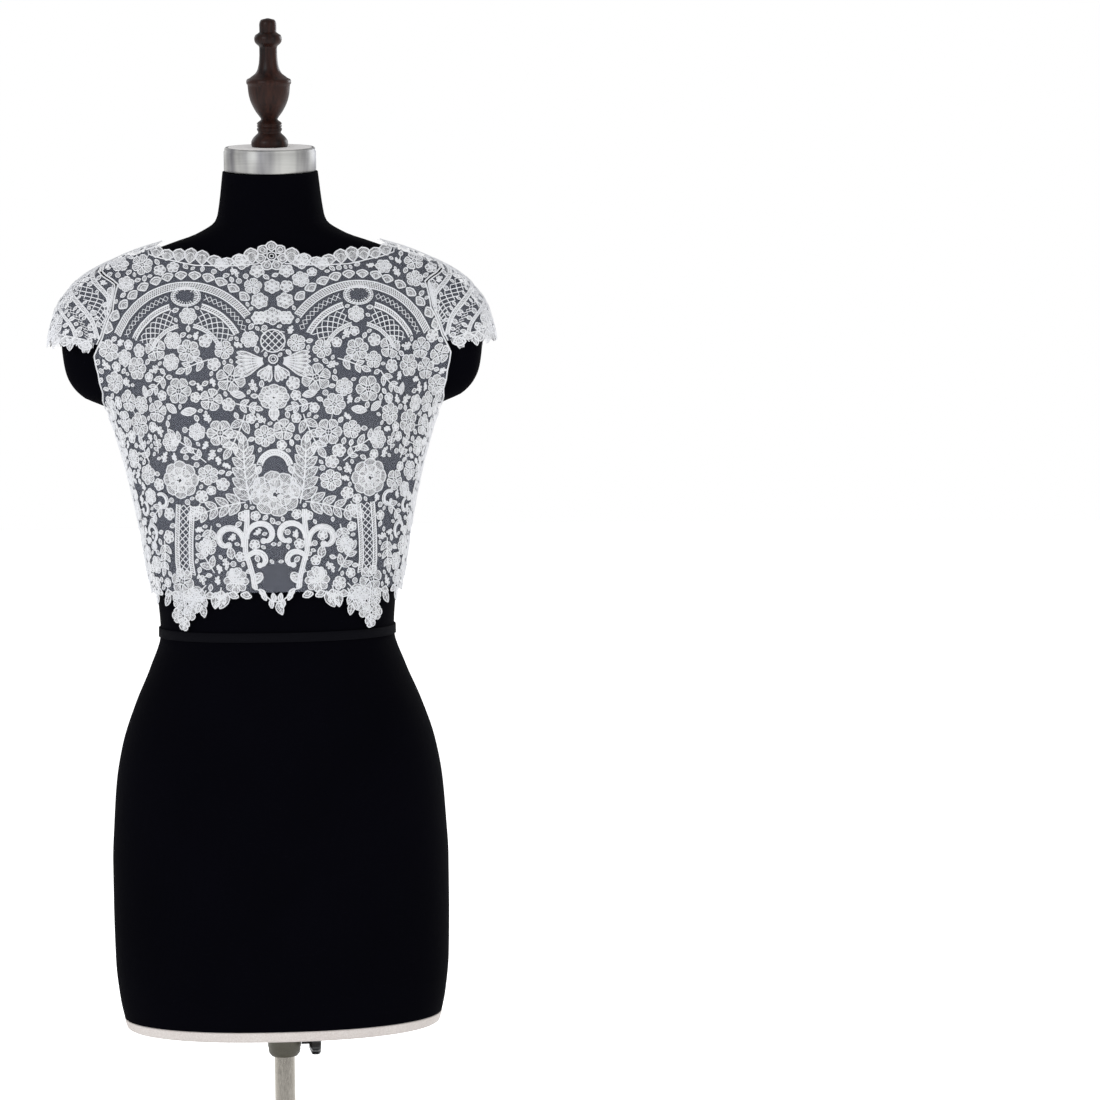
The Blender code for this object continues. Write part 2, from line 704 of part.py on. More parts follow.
def build_edgings(finish):
    _, front_line = front_places()
    _, back_line = back_places()
    front_line = resample(front_line, 40)[:-1]
    left = [(-angle, height) for angle, height in reversed(front_line[1:])]
    edging("neck_lace_front", left + front_line, finish)
    trimmed = resample(back_line, 40)[2:-1]
    for name, side in (("neck_lace_back_left", 1), ("neck_lace_back_right", -1)):
        edging(name, trimmed, finish, side, flip=True)
    rows = sleeve_places()
    for name, side in (("sleeve_lace_left", 1), ("sleeve_lace_right", -1)):
        grid = []
        count = 8
        for i in range(count * STEPS_IN_SCALLOP + 1):
            share = 0.04 + 0.92 * i / (count * STEPS_IN_SCALLOP)
            k = min(int(share * SLEEVE_COLUMNS), SLEEVE_COLUMNS - 1)
            t = share * SLEEVE_COLUMNS - k
            (low, low_lift), (high, high_lift) = rows[0][k], rows[0][k + 1]
            place = tuple(a + (b - a) * t for a, b in zip(low, high))
            lift = low_lift + (high_lift - low_lift) * t + LACE_LIFT - WALL_LIFT + 0.3
            drop = 1.0 + SCALLOP_DEPTH * abs(math.sin(math.pi * count * share)) ** 0.7
            upper, lower = stepped(place, 0, EDGING_INSIDE), stepped(place, 0, -drop)
            grid.append([mirrored_point(side * angle, height, lift) for angle, height in (upper, lower)])
        sheet(name, grid, finish, LACE_WALL)
    hem_band("hem_lace_front", -89.2, 89.2, FRONT_DROPS, finish, 48)
    for name, side in (("hem_lace_back_left", 1), ("hem_lace_back_right", -1)):
        hem_band(name, 90.8, 174.0, BACK_DROPS, finish, 22, side)


def on_view(x, height, behind):
    angle = angle_for(x, height, behind) if abs(x) > 0.01 else (180.0 if behind else 0.0)
    return angle, height


def build_rose(name, x, height, radius, finish, behind):
    # A lobed round of lace, its points stepped out from its middle over the wall
    side = -1 if x < 0 else 1
    centre = on_view(abs(x), height, behind)
    count = ROSE_POINTS
    points = [mirrored_point(side * centre[0], centre[1], LACE_LIFT + ROSE_CROWN)]
    for grow in (0.55, 1.0):
        for i in range(count):
            turn = math.tau * i / count
            reach = radius * grow * (0.92 + 0.08 * math.cos(ROSE_LOBES * turn))
            angle, level = stepped(centre, reach * math.cos(turn), reach * math.sin(turn))
            point = mirrored_point(abs(angle), level, LACE_LIFT)
            point.x = math.copysign(point.x, angle) * side
            points.append(point)
    faces = [(0, 1 + i, 1 + (i + 1) % count) for i in range(count)]
    faces += [
        (1 + i, 1 + count + i, 1 + count + (i + 1) % count, 1 + (i + 1) % count) for i in range(count)
    ]
    mesh = mesh_of(name, points, faces, outward=False)
    if mesh.polygons[0].normal.dot(Vector((mesh.polygons[0].center.x, mesh.polygons[0].center.y, 0))) < 0:
        mesh.flip_normals()
    thickened(new_object(name, mesh, finish, FORM), LACE_WALL)


def arc(x, height, radius, start, end, steps):
    points = []
    for i in range(steps + 1):
        turn = math.radians(start + (end - start) * i / steps)
        points.append((x + radius * math.cos(turn), height + radius * math.sin(turn)))
    return points


def spiral(x, height, first, last, start, end, steps):
    points = []
    for i in range(steps + 1):
        share = i / steps
        turn = math.radians(start + (end - start) * share)
        radius = first + (last - first) * share
        points.append((x + radius * math.cos(turn), height + radius * math.sin(turn)))
    return points


def straight(x0, height0, x1, height1):
    return [
        (x0 + (x1 - x0) * i / PATH_STEPS, height0 + (height1 - height0) * i / PATH_STEPS)
        for i in range(PATH_STEPS + 1)
    ]


def motif_pair(name, outline, half_width, finish, behind, middle=False):
    # The same motif on the wearer's left and, mirrored, on the right
    path = [on_view(x, height, behind) for x, height in outline]
    for word, side in (("left", 1), ("right", -1)):
        strip(f"{name}_{word}", path, half_width, half_width, finish, side, middle=middle)


def build_motifs(finish):
    for name, x, height, radius in FRONT_ROSES:
        build_rose(name, x, height, radius, finish, behind=False)
    for name, x, height, radius in BACK_ROSES:
        build_rose(name, x, height, radius, finish, behind=True)

    def band(share):
        return 4.0

    def cord(share):
        return 2.6 + 1.6 * math.sin(math.pi * share)

    def leaf(share):
        notched = 0.72 + 0.28 * abs(math.sin(5 * math.pi * share))
        return 1.5 + 7.5 * math.sin(math.pi * share ** 0.8) * notched

    motif_pair("arch_front_outer", arc(81, 650, 71, 140, 28, 20), band, finish, False)
    motif_pair("arch_front_inner", arc(81, 650, 54, 150, 24, 16), band, finish, False)
    motif_pair("arch_back", arc(68, 612, 56, 130, 42, 16), band, finish, True)
    motif_pair("spray_upper", straight(34, 518, 43, 566), leaf, finish, False, True)
    motif_pair("spray_lower", straight(46, 508, 84, 499), leaf, finish, False, True)
    motif_pair("spray_back", straight(46, 529, 90, 525), leaf, finish, True, True)
    motif_pair("scroll_front", spiral(36, 472, 17, 8, 200, -60, 16), cord, finish, False)
    motif_pair("scroll_back", spiral(68, 566, 20, 8, 60, 330, 16), cord, finish, True)


def build_closing(cloth_finish, button_finish):
    levels = [PLACKET_BOTTOM + (PLACKET_TOP - PLACKET_BOTTOM) * j / 12 for j in range(13)]
    grid = []
    for height in levels:
        turn, _ = slopes_at(179.0, height)
        half = 180.0 - PLACKET_HALF / turn.length
        grid.append([
            mirrored_point(angle, height, LACE_LIFT)
            for angle in (half, 180.0, -half)
        ])
    sheet("placket", grid, cloth_finish, LACE_WALL)
    work = bmesh.new()
    bmesh.ops.create_uvsphere(work, u_segments=8, v_segments=4, radius=1.0)
    bmesh.ops.scale(work, verts=work.verts, vec=(BUTTON_RADIUS * MM, BUTTON_RADIUS * MM, BUTTON_RISE * MM))
    mesh = bpy.data.meshes.new("button")
    work.to_mesh(mesh)
    work.free()
    for i in range(BUTTON_COUNT):
        height = BUTTON_TOP + (BUTTON_BOTTOM - BUTTON_TOP) * i / (BUTTON_COUNT - 1)
        turn, climb = slopes_at(180.0, height)
        outward = turn.cross(climb).normalized()
        button = new_object(f"button_{i + 1:02d}", mesh, button_finish, FORM)
        button.rotation_mode = "QUATERNION"
        button.rotation_quaternion = outward.to_track_quat("Z", "X")
        button.location = form_point(180.0, height) * MM + outward * (LACE_LIFT + LACE_WALL + 0.4 + BUTTON_RISE) * MM


for old in list(bpy.data.objects):
    bpy.data.objects.remove(old)

PARTS = bpy.data.collections.new("lace_bolero_jacket")
CUTTERS = bpy.data.collections.new("cutters")
for collection in (PARTS, CUTTERS):
    bpy.context.scene.collection.children.link(collection)

SLIDE = empty("collar_slide", (0, 0, FORM_EDGE))
KNOB = empty("knob_turn", (COLLAR_RADIUS + GAP + KNOB_STEM, 0, -2 * GAP - RIM_HEIGHT - KNOB_HEIGHT))
KNOB.parent = SLIDE
FORM = empty("form_turn", (0, 0, 0))
FORM.parent = SLIDE

LACE = material("white_lace", (0.86, 0.86, 0.88), 0.75)
SATIN = material("white_satin", (0.90, 0.90, 0.90), 0.45)
JERSEY = material("black_jersey", (0.006, 0.006, 0.008), 0.85)
TAPE = material("black_tape", (0.012, 0.012, 0.014), 0.7)
BOARD = material("cream_board", (0.78, 0.68, 0.60), 0.7)
STEEL = material("brushed_steel", (0.62, 0.62, 0.63), 0.32, 1.0)
NICKEL = material("nickel_tube", (0.70, 0.70, 0.70), 0.2, 1.0)
WOOD = material("dark_wood", (0.11, 0.035, 0.022), 0.4)
COLLAR = material("olive_plastic", (0.09, 0.085, 0.06), 0.5)
GRIP = material("black_plastic", (0.012, 0.012, 0.012), 0.25)
IRON = material("black_iron", (0.02, 0.02, 0.02), 0.5)

build_base(IRON)
build_pole(NICKEL)
build_collar(COLLAR)
build_knob(GRIP)
build_torso(JERSEY)
build_rim(BOARD)
build_tape(TAPE)
build_neck(STEEL, WOOD)
build_front(LACE)
build_backs(LACE)
build_sleeves(LACE)
build_closing(LACE, SATIN)
build_edgings(LACE)
build_motifs(LACE)
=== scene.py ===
import json
import math

import bpy
import numpy as np
from mathutils import Matrix, Vector
from mathutils.kdtree import KDTree

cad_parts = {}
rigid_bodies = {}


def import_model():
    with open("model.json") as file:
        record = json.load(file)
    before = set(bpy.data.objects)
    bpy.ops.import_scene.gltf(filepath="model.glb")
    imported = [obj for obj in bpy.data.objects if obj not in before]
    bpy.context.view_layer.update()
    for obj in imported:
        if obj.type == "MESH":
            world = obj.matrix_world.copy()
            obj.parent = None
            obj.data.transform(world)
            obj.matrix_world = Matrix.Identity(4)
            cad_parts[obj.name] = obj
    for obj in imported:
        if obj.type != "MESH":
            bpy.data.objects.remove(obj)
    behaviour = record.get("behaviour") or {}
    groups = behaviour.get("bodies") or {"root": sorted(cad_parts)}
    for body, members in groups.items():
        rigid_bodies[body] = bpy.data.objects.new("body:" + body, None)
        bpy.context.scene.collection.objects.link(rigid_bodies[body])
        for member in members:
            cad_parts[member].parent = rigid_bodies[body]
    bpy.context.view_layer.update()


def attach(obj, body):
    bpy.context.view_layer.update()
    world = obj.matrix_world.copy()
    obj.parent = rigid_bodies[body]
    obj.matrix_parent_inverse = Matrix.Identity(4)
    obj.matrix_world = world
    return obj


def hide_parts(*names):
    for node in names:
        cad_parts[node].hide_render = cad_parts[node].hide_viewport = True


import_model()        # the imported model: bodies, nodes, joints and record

# A bolero jacket of corded white lace on tulle, on a black dress form.
# Form and cloth are worked out in millimetres over the form's lower edge, and made in metres.
# An angle runs in degrees from the front centre (-Y) through +X to the back centre.

mm = 0.001

form = {
    "edge": 440.0,  # floor to the form's lower edge
    "torso": (  # height, half width, front depth, back depth
        (0, 157, 104, 114), (17, 160.5, 106, 116), (56, 164.5, 108, 119), (115, 165.5, 110, 122),
        (154, 165.5, 110, 122), (193, 163.5, 109, 121), (232, 160.5, 107.5, 118),
        (271, 153.5, 104, 112), (311, 140, 98, 102), (345, 125.5, 92, 92), (380, 114.5, 87, 82),
        (411, 116.5, 88, 82), (446, 123, 91, 86), (493, 130.5, 98, 93), (540, 140.5, 106, 101),
        (587, 152, 111, 107), (625, 156, 110, 110), (660, 155, 102, 109), (695, 149, 88, 101),
        (722, 136, 74, 90), (742, 116, 62, 79), (757, 96, 55, 70), (769, 71, 50, 62),
        (781, 54, 46.5, 56), (793, 51, 44.5, 52), (829, 46.5, 42, 47),
    ),
    "stub": (  # height, half width, depth
        (540, 90, 8), (575, 116, 11), (590, 132, 14), (600, 149, 20), (605, 167, 27),
        (610.5, 182, 34), (622, 194.5, 43), (634, 200.5, 49), (646, 203, 53), (660, 204.5, 56),
        (672, 205, 57.5), (684, 203.5, 57), (695, 201, 55), (706, 195, 52), (717, 187, 48.5),
        (728, 175, 45), (740, 153, 42), (751, 126, 42), (757, 104, 43), (763, 86, 43),
        (769, 66, 42), (785, 40, 30),
    ),
    "torsoPower": 2.25,
    "stubPower": 2.9,
    "blendPower": 12,
    "bust": (11.0, 33.0, 21.0, 578.0, 42.0),  # rise, angle, spread, height, reach
    "neckTop": 829.0,
    "tiltStarts": 769.0,
    "neckTilt": 0.119,
    "bore": 11.2,
    "boreDepth": 440.0,
    "columns": 144,
}

cloth = {
    "hem": 425.0,
    "underarm": 592.0,
    "neckPoint": 102.0,
    "shoulderPoint": 146.0,
    "opening": 1.2,
    "seam": 0.3,
    "wallLift": 2.9,
    "ease": (3.0, 88.0, 20.0, 612.0, 22.0),  # rise, angle, spread, height, reach
    "tulleLift": 0.75,  # over the wall's inner side
    "tulleWall": 0.28,
    "laceLift": 1.45,
    "sleeveTipRise": 7.0,
    "sleeveFlare": 9.0,
    "sleeveSeam": 1.2,
    "frontNeck": ((0, 744), (40, 741), (75, 742), (92, 747)),
    "backNeck": (
        (1.2, 651), (12, 656), (23, 667), (29, 684), (33, 698), (45, 707), (60, 710), (74, 714), (82, 724),
        (87, 742),
    ),
    "frontArmhole": ((158, 603), (162, 618), (167, 635), (171, 653)),
    "backArmhole": ((159, 603), (154, 618), (160, 634), (165, 649)),
    "frontSleeveSeam": ((171, 653), (162, 671), (152, 695), (147, 720)),
    "backSleeveSeam": ((165, 649), (160, 669), (152, 694), (147, 720)),
}


# The form's surface

def curveThrough(rows, column, x):
    # a cubic through the rows that never swings past them
    known = np.array([row[0] for row in rows], float)
    value = np.array([row[column] for row in rows], float)
    gap = np.diff(known)
    secant = np.diff(value) / gap
    product = secant[:-1] * secant[1:]
    total = np.where(product > 0, secant[:-1] + secant[1:], 1.0)
    inner = np.where(product > 0, 2 * product / total, 0.0)
    slope = np.concatenate([secant[:1], inner, secant[-1:]])
    x = np.clip(np.asarray(x, float), known[0], known[-1])
    k = np.clip(np.searchsorted(known, x, side="right") - 1, 0, len(known) - 2)
    t = (x - known[k]) / gap[k]
    return (
        value[k] * (1 + 2 * t) * (1 - t) ** 2 + slope[k] * gap[k] * t * (1 - t) ** 2
        + value[k + 1] * t * t * (3 - 2 * t) + slope[k + 1] * gap[k] * t * t * (t - 1)
    )


def formRadius(angle, height):
    angle, height = np.broadcast_arrays(np.asarray(angle, float), np.asarray(height, float))
    across = np.abs(np.sin(np.radians(angle)))
    ahead = np.cos(np.radians(angle))
    torsoPower, stubPower, blend = form["torsoPower"], form["stubPower"], form["blendPower"]
    half = curveThrough(form["torso"], 1, height)
    depth = np.where(ahead > 0, curveThrough(form["torso"], 2, height),
        curveThrough(form["torso"], 3, height))
    torso = ((across / half) ** torsoPower + (np.abs(ahead) / depth) ** torsoPower) ** (-1 / torsoPower)
    rise, at, spread, level, reach = form["bust"]
    torso = torso + rise * np.exp(-(((np.abs(angle) - at) / spread) ** 2 + ((height - level) / reach) ** 2))
    half, depth = curveThrough(form["stub"], 1, height), curveThrough(form["stub"], 2, height)
    stub = ((across / half) ** stubPower + (np.abs(ahead) / depth) ** stubPower) ** (-1 / stubPower)
    both = (torso ** blend + stub ** blend) ** (1 / blend)
    return np.where((height > form["stub"][0][0]) & (height < form["stub"][-1][0]), both, torso)


def formPoint(angle, height):
    angle, height = np.broadcast_arrays(np.asarray(angle, float), np.asarray(height, float))
    radius = formRadius(angle, height)
    x, y = radius * np.sin(np.radians(angle)), -radius * np.cos(np.radians(angle))
    t = np.clip((height - form["tiltStarts"]) / (form["neckTop"] - form["tiltStarts"]), 0, 1)
    return np.stack([x, y, height + form["neckTilt"] * t * t * (3 - 2 * t) * y], axis=-1)


def unit(vectors):
    return vectors / np.maximum(np.linalg.norm(vectors, axis=-1, keepdims=True), 1e-12)


def slopesAt(angle, height):
    turn = formPoint(angle + 0.5, height) - formPoint(angle - 0.5, height)
    climb = (formPoint(angle, height + 1.0) - formPoint(angle, height - 1.0)) / 2
    return turn, climb


def lifted(angle, height, lift):
    # points over the form's skin and the way outwards there; a negative angle is the mirrored side
    angle, height = np.broadcast_arrays(np.asarray(angle, float), np.asarray(height, float))
    side = np.where(angle < 0, -1.0, 1.0)
    turn, climb = slopesAt(np.abs(angle), height)
    outward = unit(np.cross(turn, climb))
    point = formPoint(np.abs(angle), height) + outward * np.asarray(lift)[..., None]
    flat = (np.abs(angle) < 1e-6) | (np.abs(angle) > 180 - 1e-6)
    point[..., 0] = np.where(flat, 0.0, point[..., 0] * side)
    outward[..., 0] *= side
    point[..., 2] += form["edge"]
    return point * mm, outward


# Tables between the length round a section and its angle
levelStep = 2.0
levels = np.arange(370.0, 800.0, levelStep)
turns = np.arange(0.0, 180.5, 1.0)
sections = formPoint(turns[None, :], levels[:, None])
stepsRound = np.linalg.norm(np.diff(sections, axis=1), axis=-1)
lengthRound = np.concatenate([np.zeros((len(levels), 1)), np.cumsum(stepsRound, axis=1)], axis=1)
reachAlong = np.arange(0.0, 330.0, 1.0)
angleFromFront = np.array([np.interp(reachAlong, row, turns) for row in lengthRound])
angleFromBack = np.array([np.interp(reachAlong, (row[-1] - row)[::-1], turns[::-1]) for row in lengthRound])


def between(values, i, j, s, t):
    # the value between four neighbours in a table
    return (
        values[i, j] * (1 - s) * (1 - t) + values[i + 1, j] * s * (1 - t)
        + values[i, j + 1] * (1 - s) * t + values[i + 1, j + 1] * s * t
    )


def tableValue(table, across, height):
    row = np.clip((height - levels[0]) / levelStep, 0, len(levels) - 1.001)
    column = np.clip(across, 0, reachAlong[-1] - 0.001)
    i, j = row.astype(int), column.astype(int)
    return between(table, i, j, row - i, column - j)


def angleFor(x, height, behind):
    degrees = turns[90:] if behind else turns[:91]
    wide = formRadius(degrees, height) * np.sin(np.radians(degrees))
    if behind:
        degrees, wide = degrees[::-1], wide[::-1]
    widest = int(np.argmax(wide)) + 1
    return float(np.interp(abs(x), wide[:widest], degrees[:widest]))


def lengthAt(angle, height, behind):
    k = int(np.clip(round((height - levels[0]) / levelStep), 0, len(levels) - 1))
    length = np.interp(angle, turns, lengthRound[k])
    return float(lengthRound[k][-1] - length) if behind else float(length)


def flatPlace(x, height, behind):
    # a place seen straight from the front or back, as its length from the centre line and its height
    return complex(math.copysign(lengthAt(angleFor(x, height, behind), height, behind), x), height)


def heightOnRidge(x):
    heights = np.arange(700.0, 790.0, 0.5)
    return float(np.interp(x, formRadius(90.0, heights)[::-1], heights[::-1]))


def resample(places, steps):
    # even steps along a line of places, measured on the form
    places = np.array(places, float)
    points = formPoint(places[:, 0], places[:, 1])
    reach = np.concatenate([[0.0], np.cumsum(np.linalg.norm(np.diff(points, axis=0), axis=-1))])
    wanted = np.linspace(0, reach[-1], steps + 1)
    return np.stack([np.interp(wanted, reach, places[:, 0]), np.interp(wanted, reach, places[:, 1])],
        axis=-1)


def patch(bottom, top, inner, outer):
    # rows of places inside four edges, from the lower edge up
    a = np.linspace(0, 1, len(bottom))[None, :, None]
    b = np.linspace(0, 1, len(inner))[:, None, None]
    return (
        (1 - b) * bottom[None] + b * top[None] + (1 - a) * inner[:, None] + a * outer[:, None]
        - (1 - a) * (1 - b) * bottom[0] - a * (1 - b) * bottom[-1] - (1 - a) * b * top[0] - a * b * top[-1]
    )


# The cut of the cloth, with the edges that the solids have

cut = {"columns": 44, "sideRows": 24, "armholeRows": 9, "seamRows": 18, "shoulderRows": 9,
       "sleeveColumns": 40, "sleeveRows": 16, "sleeveTrim": 3}


def seamSide(height, side):
    turn, _ = slopesAt(90.0, height)
    return 90.0 + side * cloth["seam"] / 2 / float(np.linalg.norm(turn))


def sleeveSeam(behind):
    seam = cloth["backSleeveSeam"] if behind else cloth["frontSleeveSeam"]
    places = [(angleFor(x, height, behind), height) for x, height in seam]
    height = heightOnRidge(cloth["shoulderPoint"])
    return resample([*places, (seamSide(height, 1 if behind else -1), height)], cut["seamRows"])


def panelEdges(neck, armhole, behind):
    side = 1 if behind else -1
    seam = [(seamSide(height, side), height) for height in (cloth["hem"], 455, 490, 525, 560,
        cloth["underarm"])]
    arm = [(angleFor(x, height, behind), height) for x, height in armhole]
    ridge = [heightOnRidge(x) for x in (cloth["shoulderPoint"], 124, cloth["neckPoint"])]
    shoulder = [(seamSide(height, side), height) for height in ridge]
    outer = np.concatenate([
        resample(seam, cut["sideRows"]), resample([seam[-1], *arm], cut["armholeRows"])[1:],
        sleeveSeam(behind)[1:], resample(shoulder, cut["shoulderRows"])[1:],
    ])
    neckline = [(angleFor(x, height, behind) if x else 0.0, height) for x, height in neck]
    return outer, np.array([*neckline, shoulder[-1]])


def frontPlaces():
    outer, neckline = panelEdges(cloth["frontNeck"], cloth["frontArmhole"], False)
    share = np.linspace(0, 1, cut["columns"] + 1)
    bottom = np.stack([outer[0][0] * share, np.full(len(share), cloth["hem"])], axis=-1)
    heights = np.linspace(cloth["hem"], neckline[0][1], 13)
    middle = resample([(0.0, height) for height in heights], len(outer) - 1)
    return patch(bottom, resample(neckline, cut["columns"]), middle, outer), outer, neckline


def backPlaces():
    outer, neckline = panelEdges(cloth["backNeck"], cloth["backArmhole"], True)
    heights = (cloth["hem"], 480, 540, 600, cloth["backNeck"][0][1])
    edge = [(angleFor(cloth["opening"], height, True), height) for height in heights]
    share = np.linspace(0, 1, cut["columns"] + 1)
    bottom = np.stack([edge[0][0] + (outer[0][0] - edge[0][0]) * share, np.full(len(share), cloth["hem"])],
        axis=-1)
    middle = resample(edge, len(outer) - 1)
    return patch(bottom, resample(neckline, cut["columns"]), middle, outer), outer, neckline


def beside(path, distance):
    # the line that lies so far to the right of a line of places
    moved = []
    for i, place in enumerate(path):
        before, after = path[max(i - 1, 0)], path[min(i + 1, len(path) - 1)]
        turn, climb = (float(np.linalg.norm(slope)) for slope in slopesAt(*place))
        along = complex((after[0] - before[0]) * turn, (after[1] - before[1]) * climb)
        along /= abs(along)
        moved.append((place[0] + along.imag * distance / turn, place[1] - along.real * distance / climb))
    return np.array(moved)


def sleevePlaces():
    # rows from the free edge up to the shoulder, and how far each place stands off the form
    front, back = sleeveSeam(False), sleeveSeam(True)
    seam = beside(np.concatenate([front, back[:-1][::-1]]), cloth["sleeveSeam"])
    start, end = seam[0], seam[-1]
    t = np.linspace(0, 1, 25)
    edge = start + (end - start) * t[:, None]
    edge[:, 1] += cloth["sleeveTipRise"] * np.sin(np.pi * t)
    turn = cut["seamRows"] // 2
    over = resample(seam[turn:len(seam) - turn], cut["sleeveColumns"])
    places = patch(
        resample(edge, cut["sleeveColumns"]), over,
        resample(seam[:turn + 1], cut["sleeveRows"]), resample(seam[::-1][:turn + 1], cut["sleeveRows"]),
    )
    share = 1 - np.linspace(0, 1, cut["sleeveRows"] + 1)[:, None]
    along = np.linspace(0, 1, cut["sleeveColumns"] + 1)[None, :]
    return places, cloth["wallLift"] + cloth["sleeveFlare"] * share * np.sin(np.pi * along) ** 0.7


def wallLift(angle, height):
    rise, at, spread, level, reach = cloth["ease"]
    off = ((np.abs(angle) - at) / spread) ** 2 + ((height - level) / reach) ** 2
    return cloth["wallLift"] + rise * np.exp(-off)


print("surface ready")


# Making meshes

def grid(name, points, finish, wraps=False):
    # a grid from the menu whose points are laid on the given rows; faces point out where the rows run up
    # and the columns run to the right, seen from outside
    rows, columns = points.shape[0] - 1, points.shape[1] - 1
    bpy.ops.object.select_all(action="DESELECT")
    bpy.ops.mesh.primitive_grid_add(x_subdivisions=columns, y_subdivisions=rows, size=2)
    piece = bpy.context.object
    piece.name = piece.data.name = name
    flat = np.empty(len(piece.data.vertices) * 3)
    piece.data.vertices.foreach_get("co", flat)
    flat = flat.reshape(-1, 3)
    i = np.rint((flat[:, 0] + 1) / 2 * columns).astype(int)
    j = np.rint((flat[:, 1] + 1) / 2 * rows).astype(int)
    piece.data.vertices.foreach_set("co", points[j, i].astype(np.float32).ravel())
    piece.data.update()
    if wraps:
        bpy.ops.object.mode_set(mode="EDIT")
        bpy.ops.mesh.select_all(action="SELECT")
        bpy.ops.mesh.remove_doubles(threshold=0.00002)
        bpy.ops.mesh.normals_make_consistent(inside=False)
        bpy.ops.object.mode_set(mode="OBJECT")
    piece.data.materials.clear()
    piece.data.materials.append(finish)
    return piece


def applied(piece, kind, **values):
    bpy.ops.object.select_all(action="DESELECT")
    bpy.context.view_layer.objects.active = piece
    piece.select_set(True)
    bpy.ops.object.modifier_add(type=kind)
    made = piece.modifiers[-1]
    for key, value in values.items():
        setattr(made, key, value)
    bpy.ops.object.modifier_apply(modifier=made.name)
    return piece


def smooth(piece, degrees=40):
    bpy.ops.object.select_all(action="DESELECT")
    bpy.context.view_layer.objects.active = piece
    piece.select_set(True)
    bpy.ops.object.shade_smooth_by_angle(angle=math.radians(degrees))
    return piece


def turned(name, profile, segments, finish, place=Matrix.Identity(4)):
    # a circle drawn along its profile, as on a lathe: radius and height in metres, from the bottom up
    bpy.ops.object.select_all(action="DESELECT")
    radius, height = profile[0]
    bpy.ops.mesh.primitive_circle_add(vertices=segments, radius=radius, fill_type="NGON",
        location=(0, 0, height))
    piece = bpy.context.object
    piece.name = piece.data.name = name
    bpy.ops.object.mode_set(mode="EDIT")
    for (lowRadius, low), (highRadius, high) in zip(profile, profile[1:]):
        bpy.ops.mesh.extrude_region_move(TRANSFORM_OT_translate={"value": (0, 0, high - low)})
        grow = highRadius / lowRadius
        bpy.ops.transform.resize(value=(grow, grow, 1), center_override=(0, 0, high))
    bpy.ops.mesh.select_all(action="SELECT")
    bpy.ops.mesh.normals_make_consistent(inside=False)
    bpy.ops.object.mode_set(mode="OBJECT")
    bpy.ops.object.transform_apply(location=True, rotation=True, scale=True)
    piece.data.transform(place)
    piece.data.materials.append(finish)
    return smooth(piece)


def dress(piece, body, slot, *nodes):
    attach(piece, body)
    if nodes:
        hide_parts(*nodes)
    return piece


# Finishes

def newGroup(name, inputs, outputs):
    group = bpy.data.node_groups.new(name, "ShaderNodeTree")
    for label, kind, value in inputs:
        socket = group.interface.new_socket(name=label, in_out="INPUT", socket_type=kind)
        if value is not None:
            socket.default_value = value
    for label, kind in outputs:
        group.interface.new_socket(name=label, in_out="OUTPUT", socket_type=kind)
    start, end = group.nodes.new("NodeGroupInput"), group.nodes.new("NodeGroupOutput")
    return group, start.outputs, end.inputs


def node(tree, kind, links=(), **values):
    made = tree.nodes.new(kind)
    for key, value in values.items():
        setattr(made, key, value)
    for socket, source in dict(links).items():
        if isinstance(source, bpy.types.NodeSocket):
            tree.links.new(source, made.inputs[socket])
        else:
            made.inputs[socket].default_value = source
    return made


def maths(tree, operation, *values):
    return node(tree, "ShaderNodeMath", dict(enumerate(values)), operation=operation).outputs[0]


def finishNamed(name, colour, roughness, metallic=0.0, **sockets):
    made = bpy.data.materials.new(name)
    made.use_nodes = True
    shader = made.node_tree.nodes["Principled BSDF"]
    shader.inputs["Base Color"].default_value = (*colour, 1)
    shader.inputs["Roughness"].default_value = roughness
    shader.inputs["Metallic"].default_value = metallic
    for key, value in sockets.items():
        shader.inputs[key].default_value = value
    return made, made.node_tree, shader


def addGroup(tree, group, links):
    return node(tree, "ShaderNodeGroup", links, node_tree=group)


def objectPlace(tree):
    return node(tree, "ShaderNodeTexCoord").outputs["Object"]


def stretchedBy(tree, where, by):
    return node(tree, "ShaderNodeVectorMath", {0: where, 1: by}, operation="MULTIPLY").outputs[0]


def noiseAt(tree, where, scale, detail, **more):
    return node(tree, "ShaderNodeTexNoise",
        {"Vector": where, "Scale": scale, "Detail": detail, **more}).outputs["Fac"]


def ramped(tree, value, limits, **values):
    # limits: any of the range's ends, by socket number
    return node(tree, "ShaderNodeMapRange", {0: value, **limits}, **values).outputs[0]


def mixOf(tree, share, dark, light):
    return node(tree, "ShaderNodeMixRGB", {0: share, 1: (*dark, 1), 2: (*light, 1)}).outputs[0]


def timesTone(tree, share, colour, tone):
    return node(tree, "ShaderNodeMixRGB", {0: share, 1: colour, 2: tone}, blend_type="MULTIPLY").outputs[0]


def painted(tree, shader, colour, height, strength, distance=0.0003):
    # the colour and the fine relief of a finish
    tree.links.new(colour, shader.inputs["Base Color"])
    relief = node(tree, "ShaderNodeBump", {"Strength": strength, "Distance": distance, "Height": height})
    tree.links.new(relief.outputs[0], shader.inputs["Normal"])


